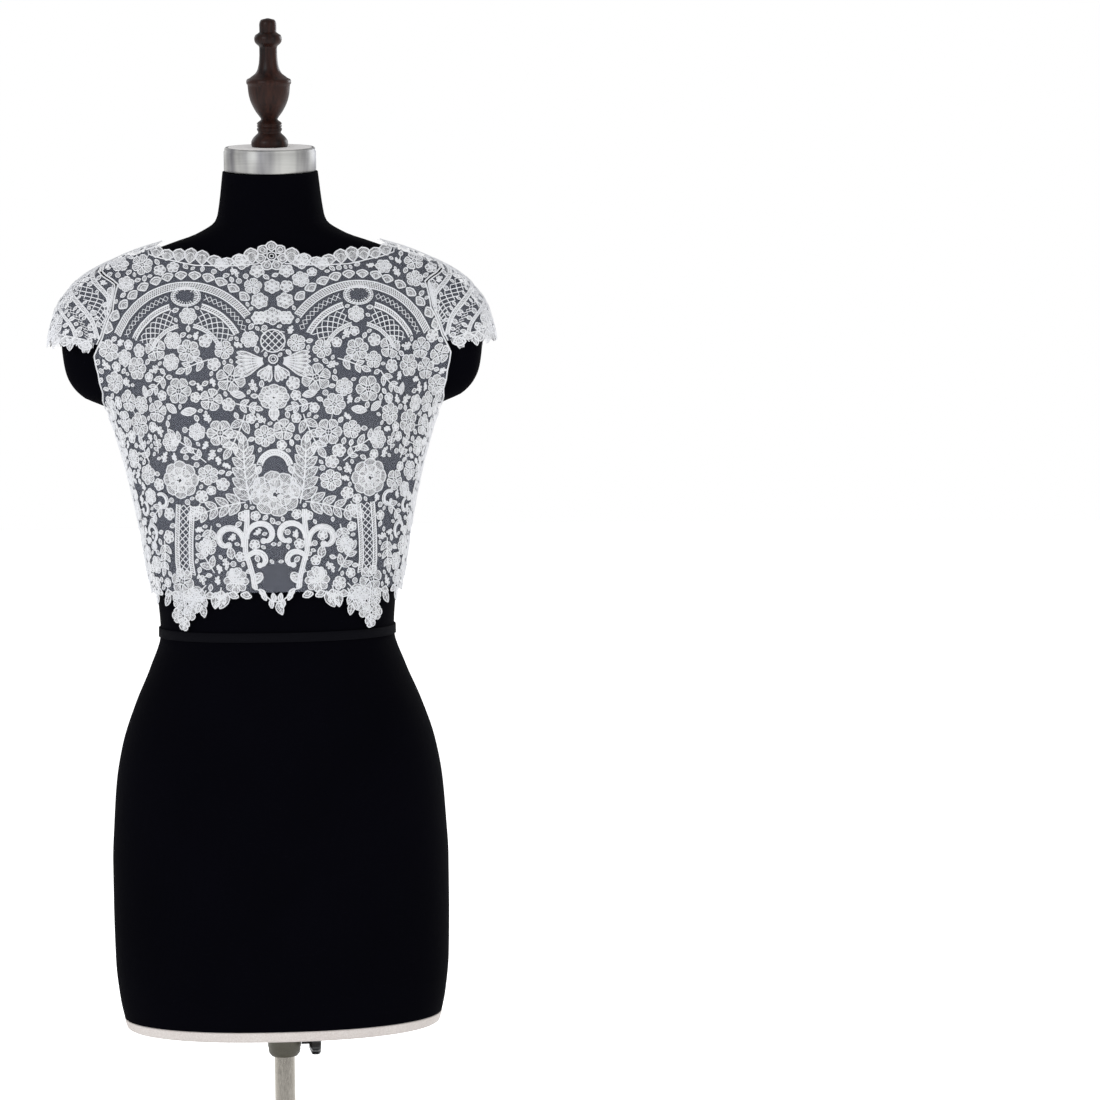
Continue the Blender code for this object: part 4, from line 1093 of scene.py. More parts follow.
def scroll(radius, start, end, width=4.6, curl=0.30):
    # a padded C that narrows into a round end
    t = np.linspace(0, 1, 18)
    turn = np.radians(start + (end - start) * t)
    path = radius * (1 - (1 - curl) * t ** 1.4) * np.exp(1j * turn)
    half = width / 2 * np.sin(np.pi * np.clip(0.12 + 0.8 * t, 0, 1)) ** 0.6
    left, right = offsetPath(path, half), offsetPath(path, -half)
    knot = path[-1]
    around = ring(knot, width * 0.52, 10)
    return [
        ("fill", left, right, 1.0, 0.45), cordOf(left, 0.95, 0.4), cordOf(right, 0.95, 0.4),
        cordOf(path, 1.7, 0.65),
        ("fill", around[:6], around[10:4:-1], 1.0, 0.6), cordOf(around, 1.0, 0.5),
        cordOf(ring(knot, width * 0.22, 6), 1.2, 0.8),
    ]


def eyelet(wide, tall, seed):
    # an open oval edged with fine threads that point inwards
    chance = np.random.default_rng(seed)
    around = np.linspace(0, math.tau, 27)
    edge = wide / 2 * np.cos(around) + 1j * tall / 2 * np.sin(around)
    items = [cordOf(edge * 1.06, 1.3, 0.15), cordOf(edge * 1.22, 0.9, 0.1)]
    for k in range(26):
        inward = edge[k] * (0.60 + 0.25 * chance.random())
        items.append(cordOf([edge[k] * 1.2, inward * np.exp(1j * 0.06 * (chance.random() - 0.5))], 0.9,
            0.05))
    return items


def ringFlower(radius, count=7):
    # a flower of round stitched rings
    items = []
    for i in range(count):
        way = np.exp(1j * math.tau * (i + 0.5) / count)
        reach = 0.62 * radius
        size = reach * math.sin(math.pi / count) * 1.12
        items += petal((reach - size) * way, (reach + size) * way, size * 2.0, 1.15, 0.4, 1.25, 0.2, 5)
        items.append(cordOf(ring(reach * way, size * 0.5, 7), 0.7, 0.3))
    items.append(cordOf(ring(0, radius * 0.26, 10), 1.3, 0.5))
    items.append(cordOf(ring(0, radius * 0.13, 7), 0.9, 0.5))
    return items


def shell(width, height):
    # a round scallop on its edge at the origin, rising along +y
    items = petal(0.0, 1j * height, width, 1.35, 0.42, 1.35, 0.15, 5)
    items += petal(0.0, 0.72j * height, width * 0.62, 1.35, 0.30, 0.75, 0.25, 4)
    return items


def fan(radius, start, end, ribs=9):
    # ribs from a point to a scalloped edge
    items = []
    around = np.radians(np.linspace(start, end, ribs + 1))
    for a, b in zip(around, around[1:]):
        way = np.exp(1j * (a + b) / 2)
        items += petal(0.25 * radius * way, radius * way, 2.1 * radius * math.sin((b - a) / 2), 2.0, 0.55,
            1.0, 0.1, 5)
    items.append(cordOf(0.24 * radius * np.exp(1j * np.linspace(around[0], around[-1], 8)), 1.4, 0.5))
    items.append(cordOf(0.55 * radius * np.exp(1j * np.linspace(around[0], around[-1], 14)), 0.7, 0.3))
    return items


def twig(length, leaves, seed):
    # a short bent stem with small leaves to both sides
    chance = np.random.default_rng(seed)
    points, heading = stem(length, 60 * (chance.random() - 0.5), 5)
    items = [cordOf(points, 1.1, 0.1)]
    for k in range(leaves):
        at = points[min(1 + k * 4 // leaves, 5)]
        side = 1 if k % 2 else -1
        size = length * (0.42 + 0.12 * chance.random())
        items += moved(petal(0.0, complex(size), size * 0.52, 0.9, 0.6, 1.0, 0.05, 3), at,
                       float(heading[2]) + side * (45 + 20 * chance.random()))
    items += moved(petal(0.0, complex(length * 0.45), length * 0.24, 0.9, 0.6, 1.0, 0.05, 3), points[-1],
        float(heading[-1]))
    return items


# Laying the lace on the cloth

def insideOutline(places, outline):
    # which places lie inside a closed line
    x, y = places.real, places.imag
    result = np.zeros(len(places), bool)
    for a, b in zip(outline, np.roll(outline, -1)):
        if a.imag == b.imag:
            continue
        crosses = (a.imag > y) != (b.imag > y)
        result ^= crosses & (x < (b.real - a.real) * (y - a.imag) / (b.imag - a.imag) + a.real)
    return result


def distanceTo(places, line):
    nearest = np.full(len(places), 1e9)
    for a, b in zip(line, line[1:]):
        way = b - a
        if abs(way) < 1e-9:
            continue
        t = np.clip(((places - a) * np.conj(way)).real / abs(way) ** 2, 0, 1)
        nearest = np.minimum(nearest, np.abs(places - a - way * t))
    return nearest


def flatLine(places, behind):
    return flatOf(np.asarray(places, float), behind) + 1j * np.asarray(places, float)[:, 1]


def panel(behind, side=1):
    # the front (both halves) or one back, as the surface that its lace is laid on
    table = angleFromBack if behind else angleFromFront
    outer, neckline = (backOuter, backLine) if behind else (frontOuter, frontLine)
    outer, neckline = flatLine(outer, behind), flatLine(neckline, behind)

    def surface(places, lift):
        across, height = np.abs(places.real), places.imag
        angle = tableValue(table, across, height)
        total = wallLift(angle, height) + cloth["laceLift"] + lift
        point, outward = lifted(angle, height, total)
        sign = np.where(places.real < 0, -1.0, 1.0) * side
        point[..., 0] *= sign
        outward[..., 0] *= sign
        return point, outward

    start = cloth["opening"] + 5.5 if behind else 0.0
    edge = [complex(start, cloth["hem"]), *outer, *neckline[::-1]]
    edge = np.array(edge if behind else [*edge, complex(0, cloth["hem"])])
    low, high = complex(start if behind else -30, 380), complex(start if behind else -30, 800)
    limits = np.array([low, complex(outer[0].real, 380), *outer, outer[-1] + 9j, high])
    return {"surface": surface, "outline": edge, "limits": limits, "seam": outer, "neckline": neckline,
        "behind": behind,
            "items": [], "places": []}


def sleeve(side):
    base, _ = lifted(sleeveRows[..., 0], sleeveRows[..., 1], sleeveLift)
    _, outward = lifted(sleeveRows[..., 0], sleeveRows[..., 1], sleeveLift)
    wide, tall = alongSleeve[-1], upSleeve[-1]
    across = np.cross(np.gradient(base, axis=1), np.gradient(base, axis=0))
    outward = unit(across * np.sign((across * outward).sum(axis=-1, keepdims=True)))
    rows, columns = base.shape[:2]

    def surface(places, lift):
        column = np.clip(places.real / wide * (columns - 1), 0, columns - 1.001)
        row = places.imag / tall * (rows - 1)
        j, i = column.astype(int), np.clip(row, 0, rows - 1.001).astype(int)
        t, s = (column - j)[:, None], (row - i)[:, None]  # s goes below 0 past the free edge
        normal = unit(between(outward, i, j, s, t))
        point = between(base, i, j, s, t) + normal * ((cloth["laceLift"] + lift) * mm)[:, None]
        return point * [side, 1, 1], normal * [side, 1, 1]

    edge = np.array([0, wide, wide + 1j * tall, 1j * tall])
    limits = np.array([-20j, wide - 20j, wide + 1j * tall, 1j * tall])
    seam = np.array([0, 1j * tall, wide + 1j * tall, wide])
    return {"surface": surface, "outline": edge, "limits": limits, "seam": seam, "neckline": None,
        "behind": False,
            "items": [], "places": []}


def stretchAt(part, place):
    # millimetres on the cloth for one step across and one step up
    around = np.array([place - 0.5, place + 0.5, place - 0.5j, place + 0.5j])
    point, _ = part["surface"](around, np.zeros(4))
    return np.linalg.norm(point[1] - point[0]) / mm, np.linalg.norm(point[3] - point[2]) / mm


shiver = np.random.default_rng(7)


def mirrorOf(item):
    other = [item[0]] + [-np.conj(value) if isinstance(value, np.ndarray) else value for value in item[1:]]
    if other[0] == "fill":
        other[1], other[2] = other[2], other[1]
    return tuple(other)


def draw(part, items, mirror=True):
    # items in the cloth's own flat places, and their mirror images on the other half of the front
    for item in items:
        for copy in (item, mirrorOf(item)) if mirror and part["mirrored"] else (item,):
            part["items"].append(copy)
            part["places"].extend(value for value in copy if isinstance(value, np.ndarray))


def lay(part, items, place, turn=0.0, mirror=True, loose=True):
    # a motif at a place of the cloth; a loose one is turned and sized a little by chance
    size = 1.0
    if loose:
        turn, size = turn + shiver.uniform(-3, 3), shiver.uniform(0.97, 1.03)
    wide, tall = stretchAt(part, place)
    copies = [
        tuple(
            value.real / wide + 1j * value.imag / tall + place if isinstance(value, np.ndarray) else value
            for value in item
        )
        for item in moved(items, 0.0, turn, size)
    ]
    draw(part, copies, mirror)


def seen(part, points):
    # a line drawn as seen straight on, as flat places
    return np.array([flatPlace(point.real, point.imag, part["behind"]) for point in points])


def arcOf(x, height, radius, start, end, steps=24):
    return complex(x, height) + radius * np.exp(1j * np.radians(np.linspace(start, end, steps + 1)))


lace = {
    "seamGap": 0.25,  # it stops so far from a seam
    "bend": 0.42, "step": 4.5,  # a cord's line keeps a point after this turn or this way
    "cordLift": 0.15, "cordRise": 1.25,  # its crest, in halves of its width
    "dome": 0.12, "domeWidth": 5.0, "fillWall": 0.18,
}


def runsOf(lines, keep):
    # numbers each stretch of kept points and gives each point its neighbours
    first = np.concatenate([[0], np.cumsum([len(line) for line in lines])])
    owner = np.repeat(np.arange(len(lines)), np.diff(first))
    index = np.nonzero(keep)[0]
    fresh = np.ones(len(index), bool)
    fresh[1:] = (np.diff(index) != 1) | (owner[index[1:]] != owner[index[:-1]])
    run = np.cumsum(fresh) - 1
    size = np.bincount(run)
    enough = size[run] > 1
    index, fresh, run = index[enough], fresh[enough], run[enough]
    last = np.ones(len(index), bool)
    last[:-1] = fresh[1:]
    return index, owner[index], fresh, last


def meshFrom(name, points, quads, triangles, finish, values):
    mesh = bpy.data.meshes.new(name)
    loops = np.concatenate([quads.ravel(), triangles.ravel()])
    sizes = np.concatenate([np.full(len(quads), 4), np.full(len(triangles), 3)])
    starts = np.concatenate([[0], np.cumsum(sizes)[:-1]])
    mesh.vertices.add(len(points))
    mesh.vertices.foreach_set("co", points.astype(np.float32).ravel())
    mesh.loops.add(len(loops))
    mesh.loops.foreach_set("vertex_index", loops.astype(np.int32))
    mesh.polygons.add(len(sizes))
    mesh.polygons.foreach_set("loop_start", starts.astype(np.int32))
    mesh.update(calc_edges=True)
    stored = mesh.attributes.new("thread", "FLOAT_VECTOR", "POINT")
    stored.data.foreach_set("vector", values.astype(np.float32).ravel())
    mesh.validate()
    mesh.materials.append(finish)
    piece = bpy.data.objects.new(name, mesh)
    bpy.context.scene.collection.objects.link(piece)
    return piece


def thinned(line):
    # the same line with fewer points where it runs straight
    way = np.diff(line)
    way[np.abs(way) < 1e-6] = 1e-6
    turns = np.abs(np.angle(way[1:] / way[:-1]))
    kept, bent, passed = [line[0]], 0.0, 0.0
    for k in range(1, len(line) - 1):
        bent, passed = bent + turns[k - 1], passed + abs(way[k - 1])
        if bent > lace["bend"] or passed + abs(way[k]) > lace["step"]:
            kept.append(line[k])
            bent, passed = 0.0, 0.0
    return np.array([*kept, line[-1]])


def cordMesh(name, part):
    # every cord of one cloth: a rounded ridge along its line, closed at both ends
    items = [item for item in part["items"] if item[0] == "cord"]
    lines = [thinned(item[1]) for item in items]
    places = np.concatenate(lines)
    keep = insideOutline(np.abs(places.real) + 1j * places.imag, part["limits"])
    keep &= distanceTo(np.abs(places.real) + 1j * places.imag, part["seam"]) > lace["seamGap"]
    index, owner, fresh, last = runsOf(lines, keep)
    places = places[index]
    width = np.array([item[2] for item in items])[owner]
    lift = np.array([item[3] for item in items])[owner]
    point, outward = part["surface"](places, lift + lace["cordLift"])
    count = len(point)
    before = np.where(fresh, np.arange(count), np.arange(count) - 1)
    after = np.where(last, np.arange(count), np.arange(count) + 1)
    way = unit(point[after] - point[before])
    side = unit(np.cross(way, outward))
    half = (width * mm / 2)[:, None]
    corners = np.stack([point - side * half, point + outward * half * lace["cordRise"],
        point + side * half], axis=1).reshape(-1, 3)
    step = np.where(fresh, 0.0, np.linalg.norm(point - point[before], axis=-1)) / mm
    along = np.cumsum(step)
    values = np.stack([
        np.repeat(along, 3), np.tile([-0.5, 0.0, 0.5], count) * np.repeat(width, 3), np.zeros(count * 3)],
        axis=-1)
    a = np.nonzero(~last)[0] * 3
    b = a + 3
    quads = np.concatenate([
        np.stack([a, a + 1, b + 1, b], axis=-1), np.stack([a + 1, a + 2, b + 2, b + 1], axis=-1),
        np.stack([a + 2, a, b, b + 2], axis=-1),
    ])
    start, end = np.nonzero(fresh)[0] * 3, np.nonzero(last)[0] * 3
    triangles = np.concatenate([
        np.stack([start, start + 2, start + 1], axis=-1), np.stack([end, end + 1, end + 2], axis=-1)])
    piece = meshFrom(name, corners, quads, triangles, finishes["cord"], values)
    return smooth(piece, 75)


def fillMesh(name, part):
    # every stitched filling of one cloth: a thin closed sheet, a little domed where it is wide
    items = [item for item in part["items"] if item[0] == "fill"]
    lefts, rights = [item[1] for item in items], [item[2] for item in items]
    left, right = np.concatenate(lefts), np.concatenate(rights)
    keep = np.ones(len(left), bool)
    for places in (left, right):
        folded = np.abs(places.real) + 1j * places.imag
        keep &= insideOutline(folded, part["limits"]) & (distanceTo(folded, part["seam"]) > lace["seamGap"])
    index, owner, fresh, last = runsOf(lefts, keep)
    left, right = left[index], right[index]
    cover = np.array([item[3] for item in items])[owner]
    lift = np.array([item[4] for item in items])[owner]
    wide = np.abs(left - right)
    most = np.zeros(len(items))
    np.maximum.at(most, owner, wide)
    dome = lace["dome"] * np.clip(wide, 0, lace["domeWidth"])
    low, _ = part["surface"](left, lift)
    high, outward = part["surface"]((left + right) / 2, lift + dome)
    far, _ = part["surface"](right, lift)
    count = len(low)
    corners = np.stack([low, high, far], axis=1)
    under = corners - (outward * lace["fillWall"] * mm)[:, None]
    corners = np.concatenate([corners.reshape(-1, 3), under.reshape(-1, 3)])
    step = np.where(fresh, 0.0, np.abs(left - np.roll(left, 1)))
    along = np.cumsum(step)
    reach = most[owner] / 2
    across = np.stack([-reach, np.zeros(count), reach], axis=-1).ravel()
    values = np.stack([across, np.repeat(along, 3), np.repeat(cover, 3)], axis=-1)
    values = np.concatenate([values, values])
    a = np.nonzero(~last)[0] * 3
    b, deep = a + 3, count * 3
    # the left edge lies to the left of the way that the rows run, so these face outwards
    top = [np.stack([a + k + 1, b + k + 1, b + k, a + k], axis=-1) for k in (0, 1)]
    bottom = [np.stack([a + k, b + k, b + k + 1, a + k + 1], axis=-1) + deep for k in (0, 1)]
    sides = [
        np.stack([a, b, b + deep, a + deep], axis=-1),
        np.stack([b + 2, a + 2, a + 2 + deep, b + 2 + deep], axis=-1)]
    start, end = np.nonzero(fresh)[0] * 3, np.nonzero(last)[0] * 3
    ends = [np.stack([start + k + 1, start + k, start + k + deep, start + k + 1 + deep],
        axis=-1) for k in (0, 1)]
    ends += [np.stack([end + k, end + k + 1, end + k + 1 + deep, end + k + deep], axis=-1) for k in (0, 1)]
    quads = np.concatenate(top + bottom + sides + ends)
    if not part["keepsHand"]:
        quads = quads[:, ::-1]
    piece = meshFrom(name, corners, quads, np.zeros((0, 3), int), finishes["stitching"], values)
    return smooth(piece, 60)


def readied(part, mirrored):
    # whether the flat drawing keeps its hand on the cloth, and whether it is drawn on both halves
    part["mirrored"] = mirrored
    middle = part["outline"].mean() + (40 if mirrored else 0)
    around = np.array([middle, middle + 1, middle + 1j])
    point, outward = part["surface"](around, np.zeros(3))
    part["keepsHand"] = float(np.cross(point[1] - point[0], point[2] - point[0]) @ outward[0]) > 0
    return part


def edgeShells(part, line, pitch, height, swell=0.0, beat=62.0, inset=0.45):
    # a row of round scallops along an edge, whose size may rise and fall on its way
    points, reach = even(line, pitch)
    way = np.gradient(points)
    for k in range(len(points) - 1):
        middle, along = (points[k] + points[k + 1]) / 2, way[k] / abs(way[k])
        size = 1 + swell * math.cos((reach[k] + pitch / 2) / beat * math.tau)
        place = middle - 1j * along * height * (inset + 0.3 * (1 - size))
        lay(part, shell(pitch * 1.10, height * size), place, math.degrees(np.angle(along)), loose=False)
    draw(part, [cordOf(offsetPath(points, -height * inset), 1.3, 0.3)])


def nearTree(part):
    places = np.concatenate(part["places"])
    tree = KDTree(len(places))
    for k, place in enumerate(places):
        tree.insert((place.real, place.imag, 0), k)
    tree.balance()
    return tree


def scatter(part, kinds, seed, half=1, openings=()):
    # small motifs in what is still bare, the largest first; a few places stay bare tulle
    chance = np.random.default_rng(seed)
    outline = part["outline"]
    for radius, draws, room in kinds:
        tree = nearTree(part)
        step = radius * 0.55
        across = np.arange(outline.real.min(), outline.real.max(), step)
        upward = np.arange(outline.imag.min(), outline.imag.max(), step)
        spots = (across[None, :] + 1j * upward[:, None]).ravel()
        spots = spots + step * 0.8 * (chance.random(len(spots)) - 0.5)
        spots = spots + 1j * step * 0.8 * (chance.random(len(spots)) - 0.5)
        chance.shuffle(spots)
        fits = insideOutline(spots, outline) & (distanceTo(spots,
            np.append(outline, outline[0])) > radius * 0.8)
        for middle, reach in openings:
            fits &= np.abs(spots - middle) > reach + radius * 0.8
        taken = []
        for spot in spots[fits]:
            signed = complex(half * spot.real, spot.imag)
            if taken and min(abs(spot - other) for other in taken) < radius * 1.92:
                continue
            near = tree.find((signed.real, signed.imag, 0))
            if near[2] < radius * room:
                continue
            taken.append(spot)
            draws(part, signed, radius, chance, complex(near[0][0], near[0][1]))


def bride(part, spot, other, radius):
    # a short thread from a small motif to what is nearest
    if abs(other - spot) < radius * 3:
        way = (other - spot) / abs(other - spot)
        draw(part, [cordOf([spot + way * radius * 0.5, other + way * 0.8], 0.9, 0.0)], mirror=False)


def drawFlower(part, spot, radius, chance, other):
    lay(part, flower(radius, 6 if chance.random() < 0.6 else 5, 0.55), spot, chance.uniform(0, 60),
        mirror=False)
    bride(part, spot, other, radius)


def drawSmall(part, spot, radius, chance, other):
    turn = chance.uniform(0, 360)
    if chance.random() < 0.5:
        lay(part, flower(radius, 5, 0.6), spot, turn, mirror=False)
        bride(part, spot, other, radius)
    else:
        start = spot - radius * 0.95 * np.exp(1j * math.radians(turn))
        lay(part, twig(radius * 1.3, 4, int(chance.integers(1000))), start, turn, mirror=False)


def drawLeaf(part, spot, radius, chance, other):
    turn = math.degrees(np.angle(spot - other))
    if chance.random() < 0.35:
        items = petal(-radius * 0.9, complex(radius * 0.9), radius * 1.1, 0.95, 0.95, 1.0, 0.05, 4)
    elif chance.random() < 0.6:
        items = petal(-radius * 0.95, complex(radius * 0.95), radius * 1.15, 0.9, 0.5, 1.1, 0.05, 4)
        items.append(cordOf([-radius * 0.8, radius * 0.7], 0.7, 0.2))
    else:
        items = [cordOf(ring(0, radius * 0.72, 8), 1.2, 0.1), cordOf(ring(0, radius * 0.3, 6), 0.8, 0.1)]
    lay(part, items, spot, turn + chance.uniform(-25, 25), mirror=False)
    bride(part, spot, other, radius)


def drawDot(part, spot, radius, chance, other):
    turn = math.degrees(np.angle(spot - other)) + chance.uniform(-30, 30)
    items = petal(-radius, complex(radius), radius * 1.15, 1.1, 0.7, 0.95, 0.0, 3)
    lay(part, items, spot, turn, mirror=False)


fillers = ((10.5, drawFlower, 0.98), (8.4, drawFlower, 0.98), (6.4, drawSmall, 1.0), (4.7, drawSmall, 1.05),
           (3.4, drawLeaf, 1.12), (2.4, drawDot, 1.45))


# The front's lace

front = readied(panel(False), True)


def onFront(x, height):
    return flatPlace(x, height + 4.5 + 3.0 * min(max((height - 540) / 120, 0), 1), False)


def seenOnFront(points):
    return np.array([onFront(point.real, point.imag) for point in points])


archMiddle = (81, 638)


def frontArch(radius, start, end, steps=12):
    return seenOnFront(arcOf(*archMiddle, radius, start, end, steps))


draw(front, band(frontArch(71, 144, 22, 24), 6.6))
for low, high in ((152, 106), (74, 24)):
    draw(front, waves(frontArch(62, low, high), 5.2, 10.5, (0, 0.5)))
    draw(front, band(frontArch(53.5, low, high), 4.6))
    draw(front, lattice(frontArch(43, low, high), 14.0))
    draw(front, band(frontArch(34, low + 4, high - 4), 2.8))
lay(front, eyelet(24, 17, 4), onFront(81, 699), 0)
for angle in range(150, 20, -9):  # fish scales over the arch
    place = complex(*archMiddle) + 77 * np.exp(1j * math.radians(angle))
    if place.imag < 733 and place.real > 26:
        lay(front, shell(11.5, 9.0), onFront(place.real, place.imag), angle - 90)
edgeShells(front, flatLine(resample(frontLine, 40)[4:], False), 12.5, 14.5, 0.25)
for x, height, radius in ((28, 731, 8.0), (47, 729, 7.2), (14, 722, 7.0)):
    lay(front, ringFlower(radius, 5), onFront(x, height), 20)

# down the middle
for x, height, motif, turn in (
    (0, 744, ringFlower(17.5, 7), 12), (0, 715, ringFlower(8.0, 6), 0), (0, 687, ringFlower(9.5, 6), 0),
    (0, 612, rose(12), 0), (0, 521, rose(22), 10), (0, 590, pod(14, 7), 90),
):
    lay(front, motif, complex(x, height), turn, mirror=False)
lay(front, ringFlower(8.5, 6), onFront(12, 694), 10)
lay(front, ringFlower(7.0, 6), onFront(13, 678), 30)
lay(front, petal(0.0, 9 + 0j, 6, 1.2, 0.6), onFront(6, 684), -60)
draw(front, lattice(np.linspace(-11, 11, 9) + 664j, 20.0, 6.5), mirror=False)
lay(front, [cordOf(ring(0, 11.5, 16), 1.4, 0.2)], 664j, mirror=False)
lay(front, fan(33, -32, 20, 6), complex(3, 646), 0)
lay(front, fan(19, -88, -38, 4), complex(1, 644), 0)
lay(front, [cordOf(ring(0, 4.2, 9), 1.5, 0.7), cordOf(ring(0, 2.2, 7), 1.0, 0.7)], 647j, mirror=False)
draw(front, band(arcOf(0, 546, 15, 10, 170, 12), 5.0, 1.0), mirror=False)  # crown arch
for angle, reach in ((20, 15), (-20, 17), (-52, 22)):
    place = complex(0, 543) + reach * np.exp(1j * math.radians(angle))
    lay(front, pod(9, 5), place, -70)
for x, height, motif, turn in (
    (40, 623, flower(14.5, 6), 20), (88, 612, flower(13, 6), 0), (79, 648, flower(11.5, 6), 15),
    (46, 649, flower(9, 5), 40),
    (110, 650, flower(11, 5), 10), (127, 633, flower(11, 6), 0), (51, 574, flower(13, 6), 0),
    (125, 581, flower(12, 6), 25),
    (88, 531, rose(20), 0), (38, 432, flower(12, 8), 0), (88, 431, flower(13.5, 6), 15),
    (96, 566, flower(9.5, 6), 0),
    (27, 607, pod(14, 6.5), 15), (72, 594, pod(16, 7.5), -8), (90, 592, pod(14, 7), 38),
    (118, 606, pod(12, 6), 80),
    (60, 640, spray(26, 2, 12, -10), -12), (100, 628, spray(22, 2, 11, 20), -60),
    (28, 590, spray(34, 3, 14, 12), -72),
    (36, 600, spray(18, 2, 10, 0), 190), (72, 560, spray(26, 2, 13, 30), 10),
    (64, 548, spray(16, 1, 10, 0), 40),
    (23, 507, spray(50, 5, 19, 12), 74), (28, 509, spray(44, 4, 16, -16), -4),
    (70, 508, twig(15, 4, 5), -60),
    (117, 548, spray(20, 2, 11, 0), 60), (104, 506, spray(22, 2, 11, -20), -30),
    (108, 556, twig(13, 4, 3), 100),
    (64, 466, flower(9, 5), 10), (60, 486, spray(20, 2, 11, 10), -80), (58, 440, spray(24, 2, 13, 0), 60),
    (104, 470, spray(26, 3, 12, 20), -95), (112, 446, flower(9, 6), 0),
    (66, 428, spray(26, 2, 14, -12), -42),
    (46, 421, spray(12, 1, 9, 0), -50),
):
    lay(front, motif, onFront(x, height), turn)
# the scrolled tree beside the middle
trunk = np.array([27 + 506j, 27 + 494j, 28.5 + 480j, 29 + 466j, 25 + 452j, 22 + 440j, 21 + 430j])
draw(front, [("fill", offsetPath(trunk, 2.0), offsetPath(trunk, -2.0), 1.0, 0.3),
    cordOf(offsetPath(trunk, 2.0), 0.95, 0.3),
             cordOf(offsetPath(trunk, -2.0), 0.95, 0.3), cordOf(trunk, 1.6, 0.5)])
for place, radius, start, end, wide in (
    (45 + 476j, 15, 205, -95, 5.4), (12.5 + 480j, 15, -10, 262, 5.0), (17 + 455j, 11.5, 5, 250, 4.6),
    (38 + 447j, 13, 230, 355, 4.4),
):
    lay(front, scroll(radius, start, end, wide), place, loose=False)
for place, turn in ((42 + 458j, 80), (14 + 444j, -50), (33 + 448j, -30), (24 + 436j, 160)):
    lay(front, leaf(12, 7.5), place, turn)
# the upright band of lattice towards each side
upright = np.array([onFront(x, height) for x,
    height in ((84, 506), (85, 490), (86, 470), (86, 450), (84, 436))])
draw(front, lattice(upright, 10.0, 6.5))
for side in (1, -1):
    draw(front, band(offsetPath(upright, side * 7.5), 4.0))
for place, radius, start, end in ((106 + 508j, 9, 60, 330), (116 + 478j, 10, 240, -20),
    (122 + 500j, 8, 100, 350)):
    lay(front, scroll(radius, start, end, 3.6), onFront(place.real, place.imag), loose=False)
# the hem's edge, its hanging sprays and the vine at the middle
hemLine = np.array([complex(across, cloth["hem"]) for across in np.arange(24, 178, 2.0)])
for k in range(2, len(hemLine) - 3, 6):
    lay(front, shell(10, 7), hemLine[k] + 1j * shiver.uniform(0, 3), 180 + shiver.uniform(-20, 20))
for x, height, motif, turn in (
    (46, 420, leaf(17, 9.5), -58), (57, 421, leaf(16, 8.5), -84), (66, 423, spray(15, 1, 12, 0), -62),
    (78, 416, flower(9, 6), 0),
    (91, 412, flower(9, 6), 20), (82, 400, flower(8, 5), 10), (93, 397, flower(7.5, 5), 0),
    (87, 389, flower(6.5, 5), 30),
    (100, 418, leaf(15, 8.5), -60), (70, 408, leaf(12, 7), -100), (112, 420, leaf(14, 8), -80),
):
    lay(front, motif, onFront(x, height), turn)
for line in ((88 + 424j, 86 + 408j, 87 + 388j), (52 + 426j, 54 + 414j)):
    draw(front, [cordOf(seenOnFront(line), 1.3, 0.2)])
vine = np.array([22 + 430j, 16 + 427j, 10 + 421j, 4 + 416j, 416j - 0.1])
draw(front, [cordOf(vine, 1.4, 0.2)])
for place, turn in ((19 + 428j, 60), (14 + 425j, -120), (11 + 422j, 50), (6 + 418j, -100), (2 + 416j, 75)):
    lay(front, pod(8.5, 4.6), place, turn)
lay(front, leaf(13, 7), 415j, -68, mirror=False)

armhole = front["seam"][front["seam"].imag > cloth["underarm"] + 12]
draw(front, [cordOf(offsetPath(armhole, 0.9), 1.6, 0.1)])
bare = [(onFront(x, height), reach) for x, height, reach in (
    (81, 700, 8), (20, 543, 11), (22, 556, 6), (90, 584, 7), (80, 584, 5), (48, 587, 6), (74, 628, 5),
    (66, 626, 5), (86, 671, 5),
    (64, 646, 6), (113, 659, 6), (126, 614, 6), (54, 466, 9), (45, 491, 6), (60, 488, 5), (104, 541, 6),
    (112, 546, 6), (128, 520, 6),
    (100, 447, 6), (104, 486, 6), (122, 560, 5), (34, 572, 4), (58, 512, 5), (132, 470, 6), (45, 462, 8),
    (34, 700, 4), (120, 690, 5),
)]
bare += [(664j, 9), (647j, 4), (2 + 440j, 13), (6 + 463j, 6), (546j, 8), (30 + 486j, 4)]
for half, seed in ((1, 11), (-1, 12)):
    scatter(front, fillers, seed, half, bare)
print("front lace drawn:", len(front["items"]), "cords and fillings")
frontCording = cordMesh("frontCording", front)
frontStitching = fillMesh("frontStitching", front)
dress(frontCording, "form", "white_lace", "neck_lace_front", "hem_lace_front", "arch_front_outer_left",
      "arch_front_outer_right", "arch_front_inner_left", "arch_front_inner_right", "scroll_front_left",
      "scroll_front_right")
dress(frontStitching, "form", "white_lace", "rose_front_right", "rose_front_left", "rose_front_mid",
    "spray_upper_left",
      "spray_upper_right", "spray_lower_left", "spray_lower_right")


# The backs' lace, drawn once for each back and mirrored by the cloth itself

